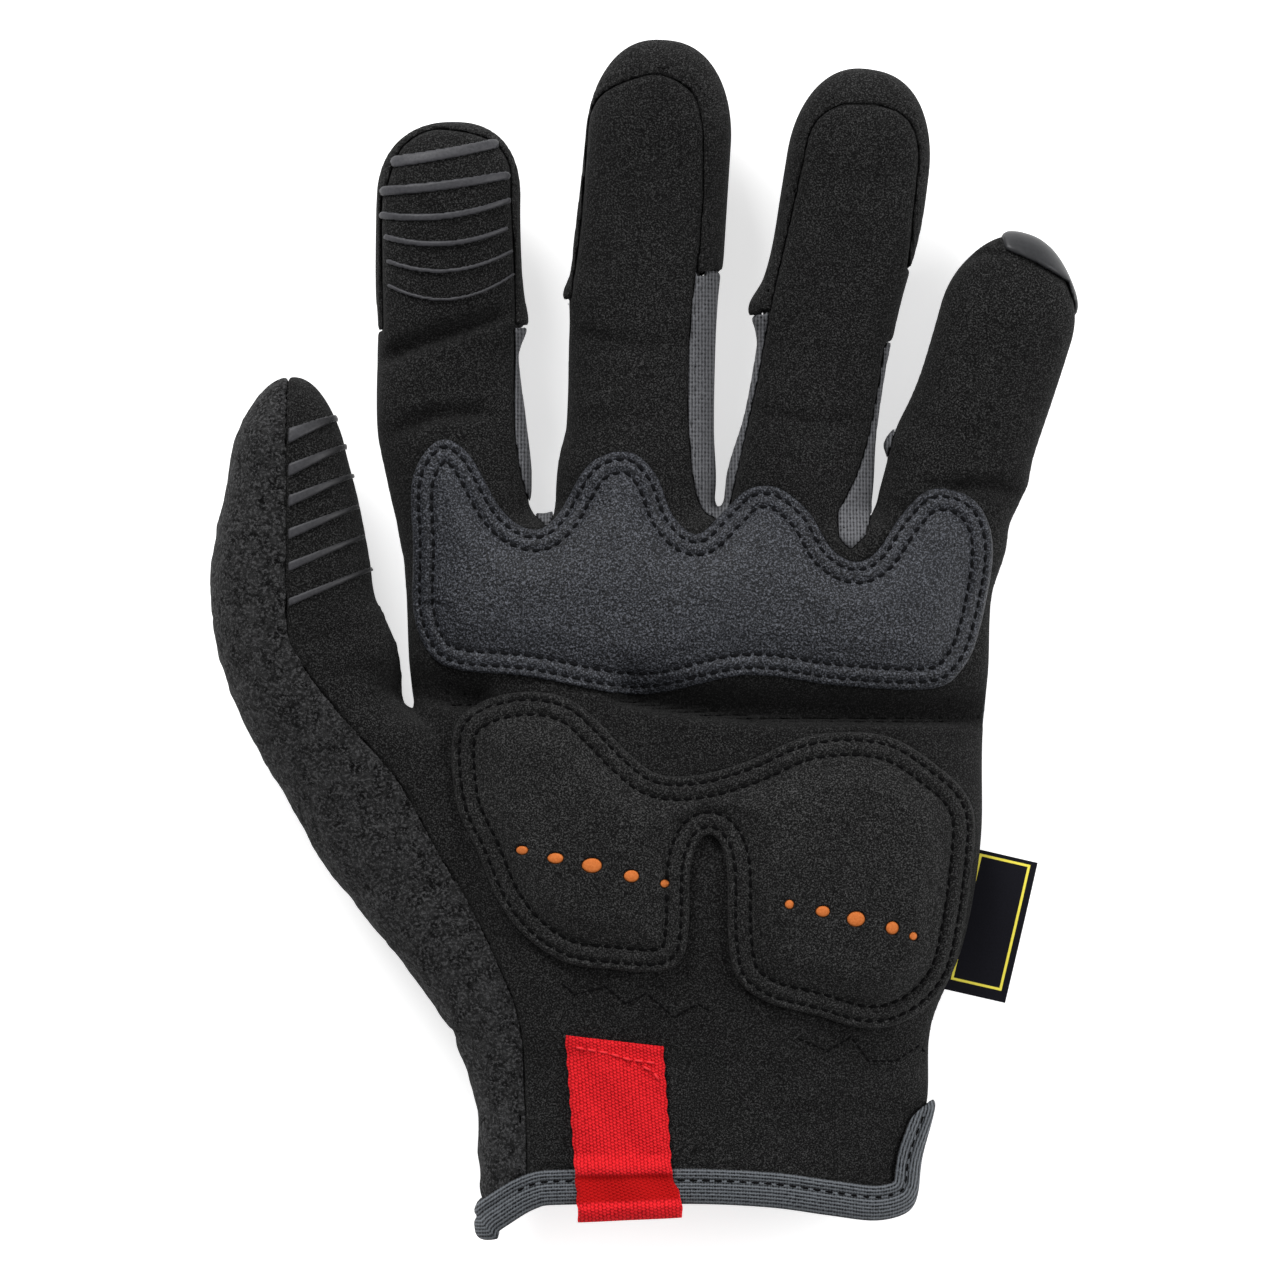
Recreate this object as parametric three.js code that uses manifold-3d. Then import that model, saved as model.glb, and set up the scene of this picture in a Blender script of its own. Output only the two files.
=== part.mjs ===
// A left-hand mechanic glove, filled and lying on its back with the palm up.
// +Y runs to the finger tips, -X to the thumb, and the floor is z = 0.
// Every piece is a hollow leather or knit panel, cut from one lofted hand shape by its seams.

import * as THREE from 'three';
import { mergeVertices } from 'three/addons/utils/BufferGeometryUtils.js';
import Module from 'manifold-3d';

const wasm = await Module();
wasm.setup();

// Driving dimensions, in millimetres
const PALM_LENGTH = 140;
const PALM_WIDTH = 120;
const PALM_THICKNESS = 33;
const PALM_CENTRE = 11.7;
const CUFF_HEIGHT = -111.4;
const INDEX_LENGTH = 94;
const INDEX_WIDTH = 29;
const MIDDLE_LENGTH = 110.6;
const MIDDLE_WIDTH = 29.6;
const RING_LENGTH = 106;
const RING_WIDTH = 27.6;
const LITTLE_LENGTH = 73.8;
const LITTLE_WIDTH = 27.6;
const THUMB_LENGTH = 130;
const THUMB_WIDTH = 34;
const FINGER_THICKNESS = 22;
const THUMB_THICKNESS = 26;

// Walls, seams and laid-on layers
const WALL = 2;
const SEAM_GAP = 0.3;
const KNUCKLE_PAD_THICKNESS = 1.8;
const PAD_FOAM_THICKNESS = 2;
const PAD_SKIN_THICKNESS = 1;
const PAD_RIM = 2.6;
const PAD_EDGE_HEIGHT = 20;
const BAR_HEIGHT = 0.7;
const GUARD_THICKNESS = 1.2;
const BINDING_THICKNESS = 1;
const BINDING_WIDTH = 8;
const BINDING_TUCK = 2;
const TAB_WIDTH = 19;
const TAB_LENGTH = 36;
const TAB_TAIL = 22;
const TAB_THICKNESS = 1.2;
const TAB_LEAN = 4;
const TAB_FOLD = 3;
const TAB_PLACE = -0.28;
const LABEL_WIDTH = 12.4;
const LABEL_LENGTH = 28.8;
const LABEL_THICKNESS = 0.8;
const LABEL_LEAN = 13;

// Facets of the lofts
const PALM_SIDES = 16;
const FINGER_SIDES = 12;
const ROUNDNESS = 2.4;
const OUTLINE_STEPS = 56;
const BLOCK = 400;

// Sections of the palm: up is a share of the palm's length from the cuff,
// left and right of half its width, low and high of its thickness.
const PALM_SECTIONS = [
  { up: -0.12, left: -0.71, right: 0.69, low: 0.06, high: 0.86 },
  { up: 0.00, left: -0.73, right: 0.71, low: 0.04, high: 0.86 },
  { up: 0.14, left: -0.75, right: 0.76, low: 0.00, high: 0.85 },
  { up: 0.25, left: -0.83, right: 0.77, low: -0.04, high: 0.88 },
  { up: 0.36, left: -0.86, right: 0.87, low: -0.05, high: 0.95 },
  { up: 0.50, left: -0.89, right: 0.93, low: -0.05, high: 1.00 },
  { up: 0.66, left: -0.94, right: 0.94, low: -0.05, high: 0.96 },
  { up: 0.76, left: -0.97, right: 0.96, low: -0.05, high: 0.91 },
  { up: 0.86, left: -0.98, right: 0.97, low: -0.04, high: 0.93 },
  { up: 0.94, left: -0.99, right: 1.01, low: 0.02, high: 0.88 },
  { up: 0.985, left: -0.99, right: 0.98, low: 0.10, high: 0.80 },
];

// Sections of each finger: along is a share of its length, left and right of half its width,
// rise of its thickness up to its axis, and depth of half its thickness.
const INDEX_SECTIONS = [
  { along: 0.00, left: -0.80, right: 0.90, rise: 0.72, depth: 0.90 },
  { along: 0.24, left: -0.98, right: 1.05, rise: 0.72, depth: 1.00 },
  { along: 0.37, left: -1.09, right: 0.98, rise: 0.70, depth: 0.98 },
  { along: 0.50, left: -1.07, right: 0.90, rise: 0.70, depth: 0.94 },
  { along: 0.57, left: -1.05, right: 1.02, rise: 0.72, depth: 0.97 },
  { along: 0.70, left: -1.06, right: 0.99, rise: 0.76, depth: 0.93 },
  { along: 0.84, left: -1.05, right: 0.91, rise: 0.80, depth: 0.88 },
  { along: 0.93, left: -0.84, right: 0.85, rise: 0.82, depth: 0.76 },
  { along: 0.98, left: -0.57, right: 0.50, rise: 0.83, depth: 0.52 },
  { along: 1.00, left: -0.22, right: 0.16, rise: 0.83, depth: 0.24 },
];
const MIDDLE_SECTIONS = [
  { along: 0.00, left: -0.80, right: 0.80, rise: 0.72, depth: 0.90 },
  { along: 0.20, left: -1.12, right: 1.08, rise: 0.72, depth: 1.00 },
  { along: 0.30, left: -1.00, right: 1.01, rise: 0.70, depth: 0.99 },
  { along: 0.44, left: -1.04, right: 0.96, rise: 0.69, depth: 0.95 },
  { along: 0.53, left: -1.15, right: 0.96, rise: 0.70, depth: 0.97 },
  { along: 0.66, left: -1.05, right: 0.98, rise: 0.73, depth: 0.94 },
  { along: 0.84, left: -0.97, right: 0.96, rise: 0.78, depth: 0.88 },
  { along: 0.92, left: -0.84, right: 0.86, rise: 0.80, depth: 0.76 },
  { along: 0.97, left: -0.58, right: 0.57, rise: 0.82, depth: 0.54 },
  { along: 1.00, left: -0.18, right: 0.18, rise: 0.82, depth: 0.20 },
];
const RING_SECTIONS = [
  { along: 0.00, left: -0.80, right: 0.80, rise: 0.72, depth: 0.88 },
  { along: 0.20, left: -1.10, right: 1.06, rise: 0.71, depth: 0.98 },
  { along: 0.32, left: -0.99, right: 0.98, rise: 0.70, depth: 0.96 },
  { along: 0.45, left: -0.99, right: 0.96, rise: 0.69, depth: 0.93 },
  { along: 0.51, left: -1.14, right: 0.98, rise: 0.70, depth: 0.95 },
  { along: 0.64, left: -0.99, right: 1.08, rise: 0.73, depth: 0.93 },
  { along: 0.84, left: -0.97, right: 1.09, rise: 0.78, depth: 0.87 },
  { along: 0.92, left: -0.84, right: 0.91, rise: 0.80, depth: 0.74 },
  { along: 0.97, left: -0.54, right: 0.66, rise: 0.82, depth: 0.54 },
  { along: 1.00, left: -0.14, right: 0.26, rise: 0.82, depth: 0.20 },
];
const LITTLE_SECTIONS = [
  { along: 0.00, left: -0.80, right: 0.92, rise: 0.68, depth: 0.84 },
  { along: 0.22, left: -1.03, right: 0.92, rise: 0.68, depth: 0.90 },
  { along: 0.36, left: -1.13, right: 1.00, rise: 0.68, depth: 0.90 },
  { along: 0.52, left: -1.00, right: 1.00, rise: 0.70, depth: 0.88 },
  { along: 0.70, left: -0.93, right: 1.06, rise: 0.73, depth: 0.85 },
  { along: 0.84, left: -0.88, right: 0.90, rise: 0.76, depth: 0.76 },
  { along: 0.94, left: -0.63, right: 0.52, rise: 0.78, depth: 0.56 },
  { along: 1.00, left: -0.20, right: 0.05, rise: 0.78, depth: 0.24 },
];
const THUMB_SECTIONS = [
  { along: 0.00, left: 1.84, right: 3.10, rise: 0.50, depth: 0.80 },
  { along: 0.09, left: 1.32, right: 3.10, rise: 0.50, depth: 0.86 },
  { along: 0.18, left: 0.74, right: 3.05, rise: 0.51, depth: 0.92 },
  { along: 0.29, left: 0.12, right: 2.90, rise: 0.52, depth: 0.98 },
  { along: 0.40, left: -0.38, right: 2.60, rise: 0.54, depth: 1.03 },
  { along: 0.49, left: -0.73, right: 2.00, rise: 0.56, depth: 1.05 },
  { along: 0.56, left: -0.92, right: 1.13, rise: 0.58, depth: 1.04 },
  { along: 0.66, left: -0.98, right: 0.91, rise: 0.62, depth: 1.00 },
  { along: 0.78, left: -0.84, right: 0.81, rise: 0.66, depth: 0.94 },
  { along: 0.90, left: -0.60, right: 0.60, rise: 0.70, depth: 0.78 },
  { along: 0.96, left: -0.42, right: 0.40, rise: 0.72, depth: 0.56 },
  { along: 1.00, left: -0.17, right: 0.06, rise: 0.72, depth: 0.24 },
];

// Where each finger grows from the palm, how it leans, and where its tip cap and side strips run.
// cap ends and strip seams: along shares of the finger, across shares of half its width.
const INDEX = {
  root: [-0.805, 0.867], lean: -1.0, length: INDEX_LENGTH, width: INDEX_WIDTH,
  thickness: FINGER_THICKNESS, sections: INDEX_SECTIONS,
  capStart: 0.61, capLeft: -0.92, capRight: 0.84, capTop: 0.95,
};
const MIDDLE = {
  root: [-0.235, 0.867], lean: 3.6, length: MIDDLE_LENGTH, width: MIDDLE_WIDTH,
  thickness: FINGER_THICKNESS, sections: MIDDLE_SECTIONS,
  capStart: 0.58, capLeft: -0.88, capRight: 0.68, capTop: 0.945,
};
const RING = {
  root: [0.275, 0.867], lean: 9.3, length: RING_LENGTH, width: RING_WIDTH,
  thickness: FINGER_THICKNESS, sections: RING_SECTIONS,
  capStart: 0.53, capLeft: -0.86, capRight: 0.86, capTop: 0.93,
};
const LITTLE = {
  root: [0.735, 0.867], lean: 17, length: LITTLE_LENGTH, width: LITTLE_WIDTH,
  thickness: FINGER_THICKNESS, sections: LITTLE_SECTIONS,
};
const THUMB = {
  root: [-1.362, 0.246], lean: 0, length: THUMB_LENGTH, width: THUMB_WIDTH,
  thickness: THUMB_THICKNESS, sections: THUMB_SECTIONS,
};
const FINGERS = [INDEX, MIDDLE, RING, LITTLE, THUMB];

// Height of the side seam above the floor, as shares of the palm's and fingers' thickness
const SEAM_AT_CUFF = 0.42;
const SEAM_AT_KNUCKLES = 0.45;
const SEAM_AT_TIPS = 0.72;

// Outlines on the palm: across is a share of half the palm's width, up of its length
const THUMB_SEAM = [
  [-1.37, 1.25], [-1.37, 0.86], [-1.32, 0.77], [-1.20, 0.70], [-1.00, 0.60],
  [-0.87, 0.50], [-0.77, 0.43], [-0.67, 0.34], [-0.60, 0.26], [-0.58, 0.14], [-0.57, -0.12],
];
const THUMB_BACK_SEAM = [
  [-1.13, 1.25], [-1.13, 0.92], [-1.05, 0.86], [-0.99, 0.78], [-0.93, 0.62], [-0.84, 0.50], [-0.76, 0.43],
  [-0.67, 0.34], [-0.60, 0.26], [-0.58, 0.14], [-0.57, -0.12],
];
const KNUCKLE_PAD = [
  [-0.955, 0.93], [-0.955, 1.03], [-0.87, 1.083], [-0.77, 1.065], [-0.66, 0.985], [-0.56, 0.957],
  [-0.48, 0.975], [-0.37, 1.05], [-0.24, 1.067], [-0.15, 1.035], [-0.09, 0.975], [-0.01, 0.95],
  [0.08, 0.985], [0.16, 1.015], [0.26, 1.015], [0.36, 0.98], [0.43, 0.93], [0.51, 0.911],
  [0.58, 0.925], [0.66, 0.975], [0.75, 1.012], [0.86, 1.01], [0.94, 0.98], [0.97, 0.92],
  [0.93, 0.82], [0.87, 0.76], [0.76, 0.73], [0.45, 0.735], [0.15, 0.75], [-0.20, 0.722],
  [-0.57, 0.748], [-0.80, 0.757], [-0.90, 0.78], [-0.955, 0.84],
];
const PALM_PAD = [
  [-0.82, 0.67], [-0.81, 0.57], [-0.74, 0.50], [-0.67, 0.43], [-0.58, 0.38], [-0.45, 0.344],
  [-0.30, 0.334], [-0.14, 0.331], [-0.06, 0.352], [-0.04, 0.40], [-0.035, 0.48], [0.00, 0.52],
  [0.05, 0.52], [0.085, 0.48], [0.09, 0.38], [0.12, 0.32], [0.22, 0.287], [0.38, 0.268],
  [0.54, 0.249], [0.67, 0.257], [0.79, 0.295], [0.86, 0.36], [0.91, 0.52], [0.88, 0.58],
  [0.78, 0.622], [0.64, 0.66], [0.48, 0.67], [0.32, 0.66], [0.16, 0.63], [0.00, 0.61],
  [-0.14, 0.61], [-0.24, 0.64], [-0.33, 0.68], [-0.43, 0.715], [-0.57, 0.727], [-0.73, 0.712],
];

// Punched vent holes of the palm pad: place on the palm and diameter in millimetres
const VENT_HOLES = [
  { across: -0.59, up: 0.503, diameter: 2.0 },
  { across: -0.48, up: 0.492, diameter: 2.8 },
  { across: -0.36, up: 0.482, diameter: 3.8 },
  { across: -0.23, up: 0.467, diameter: 2.8 },
  { across: -0.12, up: 0.456, diameter: 1.9 },
  { across: 0.29, up: 0.427, diameter: 1.9 },
  { across: 0.40, up: 0.417, diameter: 2.6 },
  { across: 0.51, up: 0.406, diameter: 3.5 },
  { across: 0.63, up: 0.393, diameter: 2.6 },
  { across: 0.70, up: 0.381, diameter: 1.8 },
];

// Lower edge of the cuff from the thumb side. On the palm side it turns up into the vent,
// on the back it runs straight on.
const CUFF_EDGE = [
  [-1.30, -0.062], [-0.73, -0.058], [-0.66, -0.040], [-0.55, -0.010], [-0.45, -0.003],
];
const CUFF_EDGE_PALM_SIDE = [
  [-0.06, -0.001], [0.22, -0.006], [0.40, -0.018], [0.55, -0.026], [0.66, -0.016],
  [0.72, 0.010], [0.75, 0.060], [0.79, 0.130], [1.30, 0.130],
];
const CUFF_EDGE_BACK = [[0.60, -0.003], [1.30, -0.003]];

// Moulded grip bars: along is the left end's share of the digit's length, tilt what the right
// end gains on it and sag what the middle loses. Ends are shares of half the digit's width,
// thickness is in millimetres.
const INDEX_BARS = [
  { along: 0.915, tilt: 0.034, sag: 0.004, left: -0.75, right: 0.60, thickness: 2.0 },
  { along: 0.853, tilt: 0.028, sag: 0.006, left: -0.92, right: 0.76, thickness: 1.6 },
  { along: 0.802, tilt: 0.026, sag: 0.019, left: -0.95, right: 0.79, thickness: 1.3 },
  { along: 0.755, tilt: 0.013, sag: 0.024, left: -0.90, right: 0.75, thickness: 1.1 },
  { along: 0.704, tilt: 0.017, sag: 0.032, left: -0.88, right: 0.82, thickness: 0.9 },
  { along: 0.653, tilt: 0.019, sag: 0.042, left: -0.88, right: 0.84, thickness: 0.7 },
];
const THUMB_BARS = [
  { along: 0.904, tilt: 0.032, sag: 0.0, left: 0.03, right: 0.50, thickness: 2.4 },
  { along: 0.851, tilt: 0.041, sag: 0.0, left: 0.03, right: 0.55, thickness: 1.8 },
  { along: 0.803, tilt: 0.041, sag: 0.0, left: 0.03, right: 0.61, thickness: 1.7 },
  { along: 0.753, tilt: 0.042, sag: 0.0, left: 0.03, right: 0.68, thickness: 1.5 },
  { along: 0.704, tilt: 0.045, sag: 0.0, left: 0.03, right: 0.74, thickness: 1.4 },
  { along: 0.650, tilt: 0.050, sag: 0.0, left: 0.03, right: 0.81, thickness: 1.0 },
];

// Knit side strips between two fingers. The wide face lies on the first finger's side,
// the narrow one on the second's; low and high are along shares on each.
const STRIPS = [
  { name: 'index_middle_strip', first: INDEX, second: MIDDLE,
    firstSeam: 0.80, firstLow: 0.17, firstHigh: 0.60, secondSeam: -0.84, secondLow: 0.14, secondHigh: 0.56 },
  { name: 'middle_ring_strip', first: MIDDLE, second: RING,
    firstSeam: 0.62, firstLow: 0.13, firstHigh: 0.572, secondSeam: -0.90, secondLow: 0.12, secondHigh: 0.50 },
  { name: 'ring_little_strip', first: RING, second: LITTLE,
    firstSeam: 0.72, firstLow: 0.12, firstHigh: 0.52, secondSeam: -0.88, secondLow: 0.16, secondHigh: 0.52 },
];
const STRIP_LOW = 0.30;
const STRIP_HIGH = 0.95;
const STRIP_FACE_STEP = 0.06;
const STRIP_FACE_RISE = 0.015;
const STRIP_FACE_REACH = 1.25;
const STRIP_OVERLAP = 2;

// Soft rubber guard that wraps over the little finger's outer corner
const GUARD = { left: 0.14, right: 1.30, low: 0.72, high: 1.10 };

const MATERIALS = {
  suede: { color: '#282828', roughness: 0.95, metalness: 0 },
  fleece: { color: '#232323', roughness: 1, metalness: 0 },
  pebbled: { color: '#2d3037', roughness: 0.8, metalness: 0 },
  knit: { color: '#55565a', roughness: 0.95, metalness: 0 },
  binding: { color: '#4b5055', roughness: 0.95, metalness: 0 },
  webbing: { color: '#cf151c', roughness: 0.8, metalness: 0 },
  rubber: { color: '#47474c', roughness: 0.5, metalness: 0 },
  foam: { color: '#e8823a', roughness: 0.9, metalness: 0 },
  label: { color: '#15161e', roughness: 0.7, metalness: 0 },
};

const glove = new THREE.Group();

// Solids and meshes

function solidFrom(geometry) {
  const bare = geometry.index ? geometry.clone() : geometry;
  bare.deleteAttribute('normal');
  bare.deleteAttribute('uv');
  const merged = mergeVertices(bare, 1e-4);
  return new wasm.Manifold(new wasm.Mesh({
    numProp: 3,
    vertProperties: new Float32Array(merged.attributes.position.array),
    triVerts: new Uint32Array(merged.index.array),
  }));
}

function largestBody(solid) {
  const bodies = solid.decompose();
  bodies.sort((one, other) => other.volume() - one.volume());
  return bodies[0];
}

function addPiece(name, solid, material) {
  const { numProp, vertProperties, triVerts } = largestBody(solid).getMesh();
  const geometry = new THREE.BufferGeometry();
  geometry.setAttribute('position', new THREE.BufferAttribute(new Float32Array(vertProperties), numProp));
  geometry.setIndex(new THREE.BufferAttribute(new Uint32Array(triVerts), 1));
  geometry.computeVertexNormals();
  const piece = new THREE.Mesh(geometry, new THREE.MeshStandardMaterial(MATERIALS[material]));
  piece.name = name;
  glove.add(piece);
}

// A closed skin through rings of points, with a flat fan at each end
function loft(rings) {
  const sides = rings[0].length;
  const positions = rings.flat().flatMap((point) => point.toArray());
  const faces = [];
  for (let row = 0; row + 1 < rings.length; row += 1) {
    for (let side = 0; side < sides; side += 1) {
      const next = (side + 1) % sides;
      const low = row * sides;
      const high = low + sides;
      faces.push(low + side, low + next, high + next);
      faces.push(low + side, high + next, high + side);
    }
  }
  const top = (rings.length - 1) * sides;
  for (let side = 1; side + 1 < sides; side += 1) {
    faces.push(0, side + 1, side);
    faces.push(top, top + side, top + side + 1);
  }
  const geometry = new THREE.BufferGeometry();
  geometry.setAttribute('position', new THREE.Float32BufferAttribute(positions, 3));
  geometry.setIndex(faces);
  return solidFrom(geometry);
}

// A vertical prism of an outline between two heights
function slab(points, low, high) {
  const shape = new THREE.Shape(points.map((point) => new THREE.Vector2(point[0], point[1])));
  const prism = new THREE.ExtrudeGeometry(shape, { depth: high - low, bevelEnabled: false });
  prism.translate(0, 0, low);
  return solidFrom(prism);
}

// A prism of a side profile, given as pairs of y and z, from one x to another
function sideSlab(profile, left, right) {
  const shape = new THREE.Shape(profile.map((point) => new THREE.Vector2(point[0], point[1])));
  const prism = new THREE.ExtrudeGeometry(shape, { depth: right - left, bevelEnabled: false });
  prism.translate(0, 0, left);
  const turn = new THREE.Matrix4().makeBasis(
    new THREE.Vector3(0, 1, 0),
    new THREE.Vector3(0, 0, 1),
    new THREE.Vector3(1, 0, 0),
  );
  return solidFrom(prism.applyMatrix4(turn));
}

// Places on the glove

function palmPoint([across, up]) {
  return [PALM_CENTRE + across * PALM_WIDTH / 2, CUFF_HEIGHT + up * PALM_LENGTH];
}

function fingerPoint(finger, across, along) {
  const [rootX, rootY] = palmPoint(finger.root);
  const lean = THREE.MathUtils.degToRad(finger.lean);
  const out = along * finger.length;
  const aside = across * finger.width / 2;
  return [
    rootX + out * Math.sin(lean) + aside * Math.cos(lean),
    rootY + out * Math.cos(lean) - aside * Math.sin(lean),
  ];
}

// An outline with every edge moved outward by a distance (inward when negative)
function grown(points, distance) {
  const outline = points.map((point) => new THREE.Vector2(point[0], point[1]));
  const turn = THREE.ShapeUtils.area(outline) > 0 ? 1 : -1;
  return outline.map((point, place) => {
    const before = outline[(place + outline.length - 1) % outline.length];
    const after = outline[(place + 1) % outline.length];
    const into = point.clone().sub(before).normalize();
    const away = after.clone().sub(point).normalize();
    const normal = new THREE.Vector2(into.y + away.y, -into.x - away.x).normalize();
    const stretch = 1 / Math.max(0.5, normal.dot(new THREE.Vector2(into.y, -into.x)));
    return point.clone().addScaledVector(normal, turn * distance * stretch).toArray();
  });
}

// A smooth closed outline through points of the palm
function palmOutline(points, steps) {
  const stops = points.map((point) => new THREE.Vector3(...palmPoint(point), 0));
  const curve = new THREE.CatmullRomCurve3(stops, true);
  return curve.getPoints(steps).slice(0, -1).map((point) => [point.x, point.y]);
}

// The hand shape, at any distance inside its skin (outside when negative)

function sectionRing(sides, left, right, low, high, place) {
  const ring = [];
  for (let side = 0; side < sides; side += 1) {
    const angle = 2 * Math.PI * (side + 0.5) / sides;
    const cosine = Math.cos(angle);
    const sine = Math.sin(angle);
    const across = Math.sign(cosine) * Math.abs(cosine) ** (2 / ROUNDNESS);
    const up = Math.sign(sine) * Math.abs(sine) ** (2 / ROUNDNESS);
    const aside = (left + right) / 2 + across * (right - left) / 2;
    const height = (low + high) / 2 + up * (high - low) / 2;
    ring.push(place(aside, height));
  }
  return ring;
}

// Past this share of a finger its sections also move along it with the skin,
// and narrow sections keep at least this half width.
const TIP_START = 0.9;
const LEAST_HALF = 0.5;

function squeezed(low, high, inset) {
  const middle = (low + high) / 2;
  const half = Math.max(LEAST_HALF, (high - low) / 2 - inset);
  return [middle - half, middle + half];
}

function palmSolid(inset) {
  const rings = PALM_SECTIONS.map((section, place) => {
    const [left, right] = squeezed(
      PALM_CENTRE + section.left * PALM_WIDTH / 2,
      PALM_CENTRE + section.right * PALM_WIDTH / 2,
      inset,
    );
    const [low, high] = squeezed(section.low * PALM_THICKNESS, section.high * PALM_THICKNESS, inset);
    const last = place === PALM_SECTIONS.length - 1;
    const y = CUFF_HEIGHT + section.up * PALM_LENGTH - (last ? inset : 0);
    return sectionRing(PALM_SIDES, left, right, low, high, (x, z) => new THREE.Vector3(x, y, z));
  });
  return loft(rings.map((ring) => ring.reverse()));
}

function fingerSolid(finger, inset) {
  const half = finger.width / 2;
  const rings = finger.sections.map((section) => {
    const [left, right] = squeezed(section.left * half, section.right * half, inset);
    const middle = section.rise * finger.thickness;
    const deep = section.depth * finger.thickness / 2;
    const [low, high] = squeezed(middle - deep, middle + deep, inset);
    const shift = inset / finger.length;
    const root = section.along === 0 ? shift : 0;
    const tip = section.along > TIP_START ? shift : 0;
    const along = section.along + root - tip;
    return sectionRing(FINGER_SIDES, left, right, low, high, (aside, z) => (
      new THREE.Vector3(...fingerPoint(finger, aside / half, along), z)
    ));
  });
  return loft(rings.map((ring) => ring.reverse()));
}

// Everything above a height, flat where the glove rests
function above(height) {
  return slab([[-BLOCK, -BLOCK], [BLOCK, -BLOCK], [BLOCK, BLOCK], [-BLOCK, BLOCK]], height, BLOCK);
}

const handShapes = new Map();

function hand(inset) {
  const key = inset.toFixed(3);
  if (!handShapes.has(key)) {
    let solid = palmSolid(inset);
    for (const finger of FINGERS) {
      solid = solid.add(fingerSolid(finger, inset));
    }
    handShapes.set(key, solid.intersect(above(Math.max(0, inset))));
  }
  return handShapes.get(key);
}

// A layer laid on the skin, from one distance outside it to another
function layer(inner, outer) {
  return hand(-outer).subtract(hand(-inner));
}

// Regions that the seams divide the skin into. Each takes the distance it is grown by.

const seamHeightAt = [
  [CUFF_HEIGHT, SEAM_AT_CUFF * PALM_THICKNESS],
  [CUFF_HEIGHT + PALM_LENGTH, SEAM_AT_KNUCKLES * PALM_THICKNESS],
  [CUFF_HEIGHT + PALM_LENGTH + MIDDLE_LENGTH, SEAM_AT_TIPS * FINGER_THICKNESS],
];

function palmSide(grow) {
  const [cuff, knuckles, tips] = seamHeightAt;
  return sideSlab([
    [-BLOCK, cuff[1] - grow], [cuff[0], cuff[1] - grow], [knuckles[0], knuckles[1] - grow],
    [tips[0], tips[1] - grow], [BLOCK, tips[1] - grow], [BLOCK, BLOCK], [-BLOCK, BLOCK],
  ], -BLOCK, BLOCK);
}

function seamHeight(y) {
  const [cuff, knuckles, tips] = seamHeightAt;
  const [start, end] = y < knuckles[0] ? [cuff, knuckles] : [knuckles, tips];
  const share = THREE.MathUtils.clamp((y - start[0]) / (end[0] - start[0]), 0, 1);
  return THREE.MathUtils.lerp(start[1], end[1], share);
}

// The outer side of a seam line that runs down the thumb side
function thumbRegion(seam, grow) {
  const line = seam.map(palmPoint);
  const outline = [...line, [-BLOCK, line.at(-1)[1]], [-BLOCK, line[0][1]]];
  return slab(grown(outline, grow), -BLOCK, BLOCK);
}

function thumbSide(grow) {
  const front = thumbRegion(THUMB_SEAM, grow);
  const back = thumbRegion(THUMB_BACK_SEAM, grow).subtract(palmSide(-grow));
  return front.add(back);
}

// A finger tip's cap: all of the tip but the palm-side panel inside its arched seam
const ARCH_STEPS = 8;
const CAP_REACH = 1.22;

function tipCap(finger, grow) {
  const tip = slab(grown([
    fingerPoint(finger, -CAP_REACH, finger.capStart),
    fingerPoint(finger, CAP_REACH, finger.capStart),
    fingerPoint(finger, CAP_REACH, CAP_REACH),
    fingerPoint(finger, -CAP_REACH, CAP_REACH),
  ], grow), -BLOCK, BLOCK);
  const middle = (finger.capLeft + finger.capRight) / 2;
  const half = (finger.capRight - finger.capLeft) / 2;
  const springing = finger.capTop - half * finger.width / 2 / finger.length;
  const arch = [];
  for (let step = 0; step <= ARCH_STEPS; step += 1) {
    const angle = Math.PI * step / ARCH_STEPS;
    const along = THREE.MathUtils.lerp(springing, finger.capTop, Math.sin(angle));
    arch.push(fingerPoint(finger, middle + half * Math.cos(angle), along));
  }
  const start = finger.capStart - 0.1;
  const front = [
    ...arch,
    fingerPoint(finger, finger.capLeft, start),
    fingerPoint(finger, finger.capRight, start),
  ];
  const panel = slab(grown(front, -grow), seamHeight(fingerPoint(finger, 0, 1)[1]) + 1, BLOCK);
  return tip.subtract(panel);
}

// The knit strip between two fingers: up to the palm side on the first, side only on the second
function stripRegion(strip, grow) {
  const { first, second } = strip;
  const low = STRIP_LOW * FINGER_THICKNESS - grow;
  const high = STRIP_HIGH * FINGER_THICKNESS + grow;
  const sides = slab(grown([
    fingerPoint(first, strip.firstSeam, strip.firstLow),
    fingerPoint(second, strip.secondSeam, strip.secondLow),
    fingerPoint(second, strip.secondSeam, strip.secondHigh),
    fingerPoint(first, strip.firstSeam, strip.firstHigh),
  ], grow), low, high);
  const face = slab(grown([
    fingerPoint(first, strip.firstSeam + STRIP_FACE_STEP, strip.firstLow + STRIP_FACE_RISE),
    fingerPoint(first, STRIP_FACE_REACH, strip.firstLow + STRIP_FACE_RISE),
    fingerPoint(first, STRIP_FACE_REACH, strip.firstHigh - STRIP_FACE_RISE),
    fingerPoint(first, strip.firstSeam, strip.firstHigh - 2 * STRIP_FACE_RISE),
  ], grow), low + STRIP_OVERLAP, BLOCK);
  return sides.add(face);
}

// What is cut away below the cuff's edge and in its side vent
function belowEdge(edge, grow, low, high) {
  const line = [...CUFF_EDGE, ...edge].map(palmPoint);
  const outline = [...line, [line.at(-1)[0], -BLOCK], [line[0][0], -BLOCK]];
  return slab(grown(outline, grow), low, high);
}

function openEnd(grow) {
  const side = seamHeight(CUFF_HEIGHT) - SEAM_GAP;
  const palmSidePart = belowEdge(CUFF_EDGE_PALM_SIDE, grow, side - grow, BLOCK);
  return palmSidePart.add(belowEdge(CUFF_EDGE_BACK, grow, -BLOCK, side + SEAM_GAP));
}

// Panels of the shell

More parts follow.
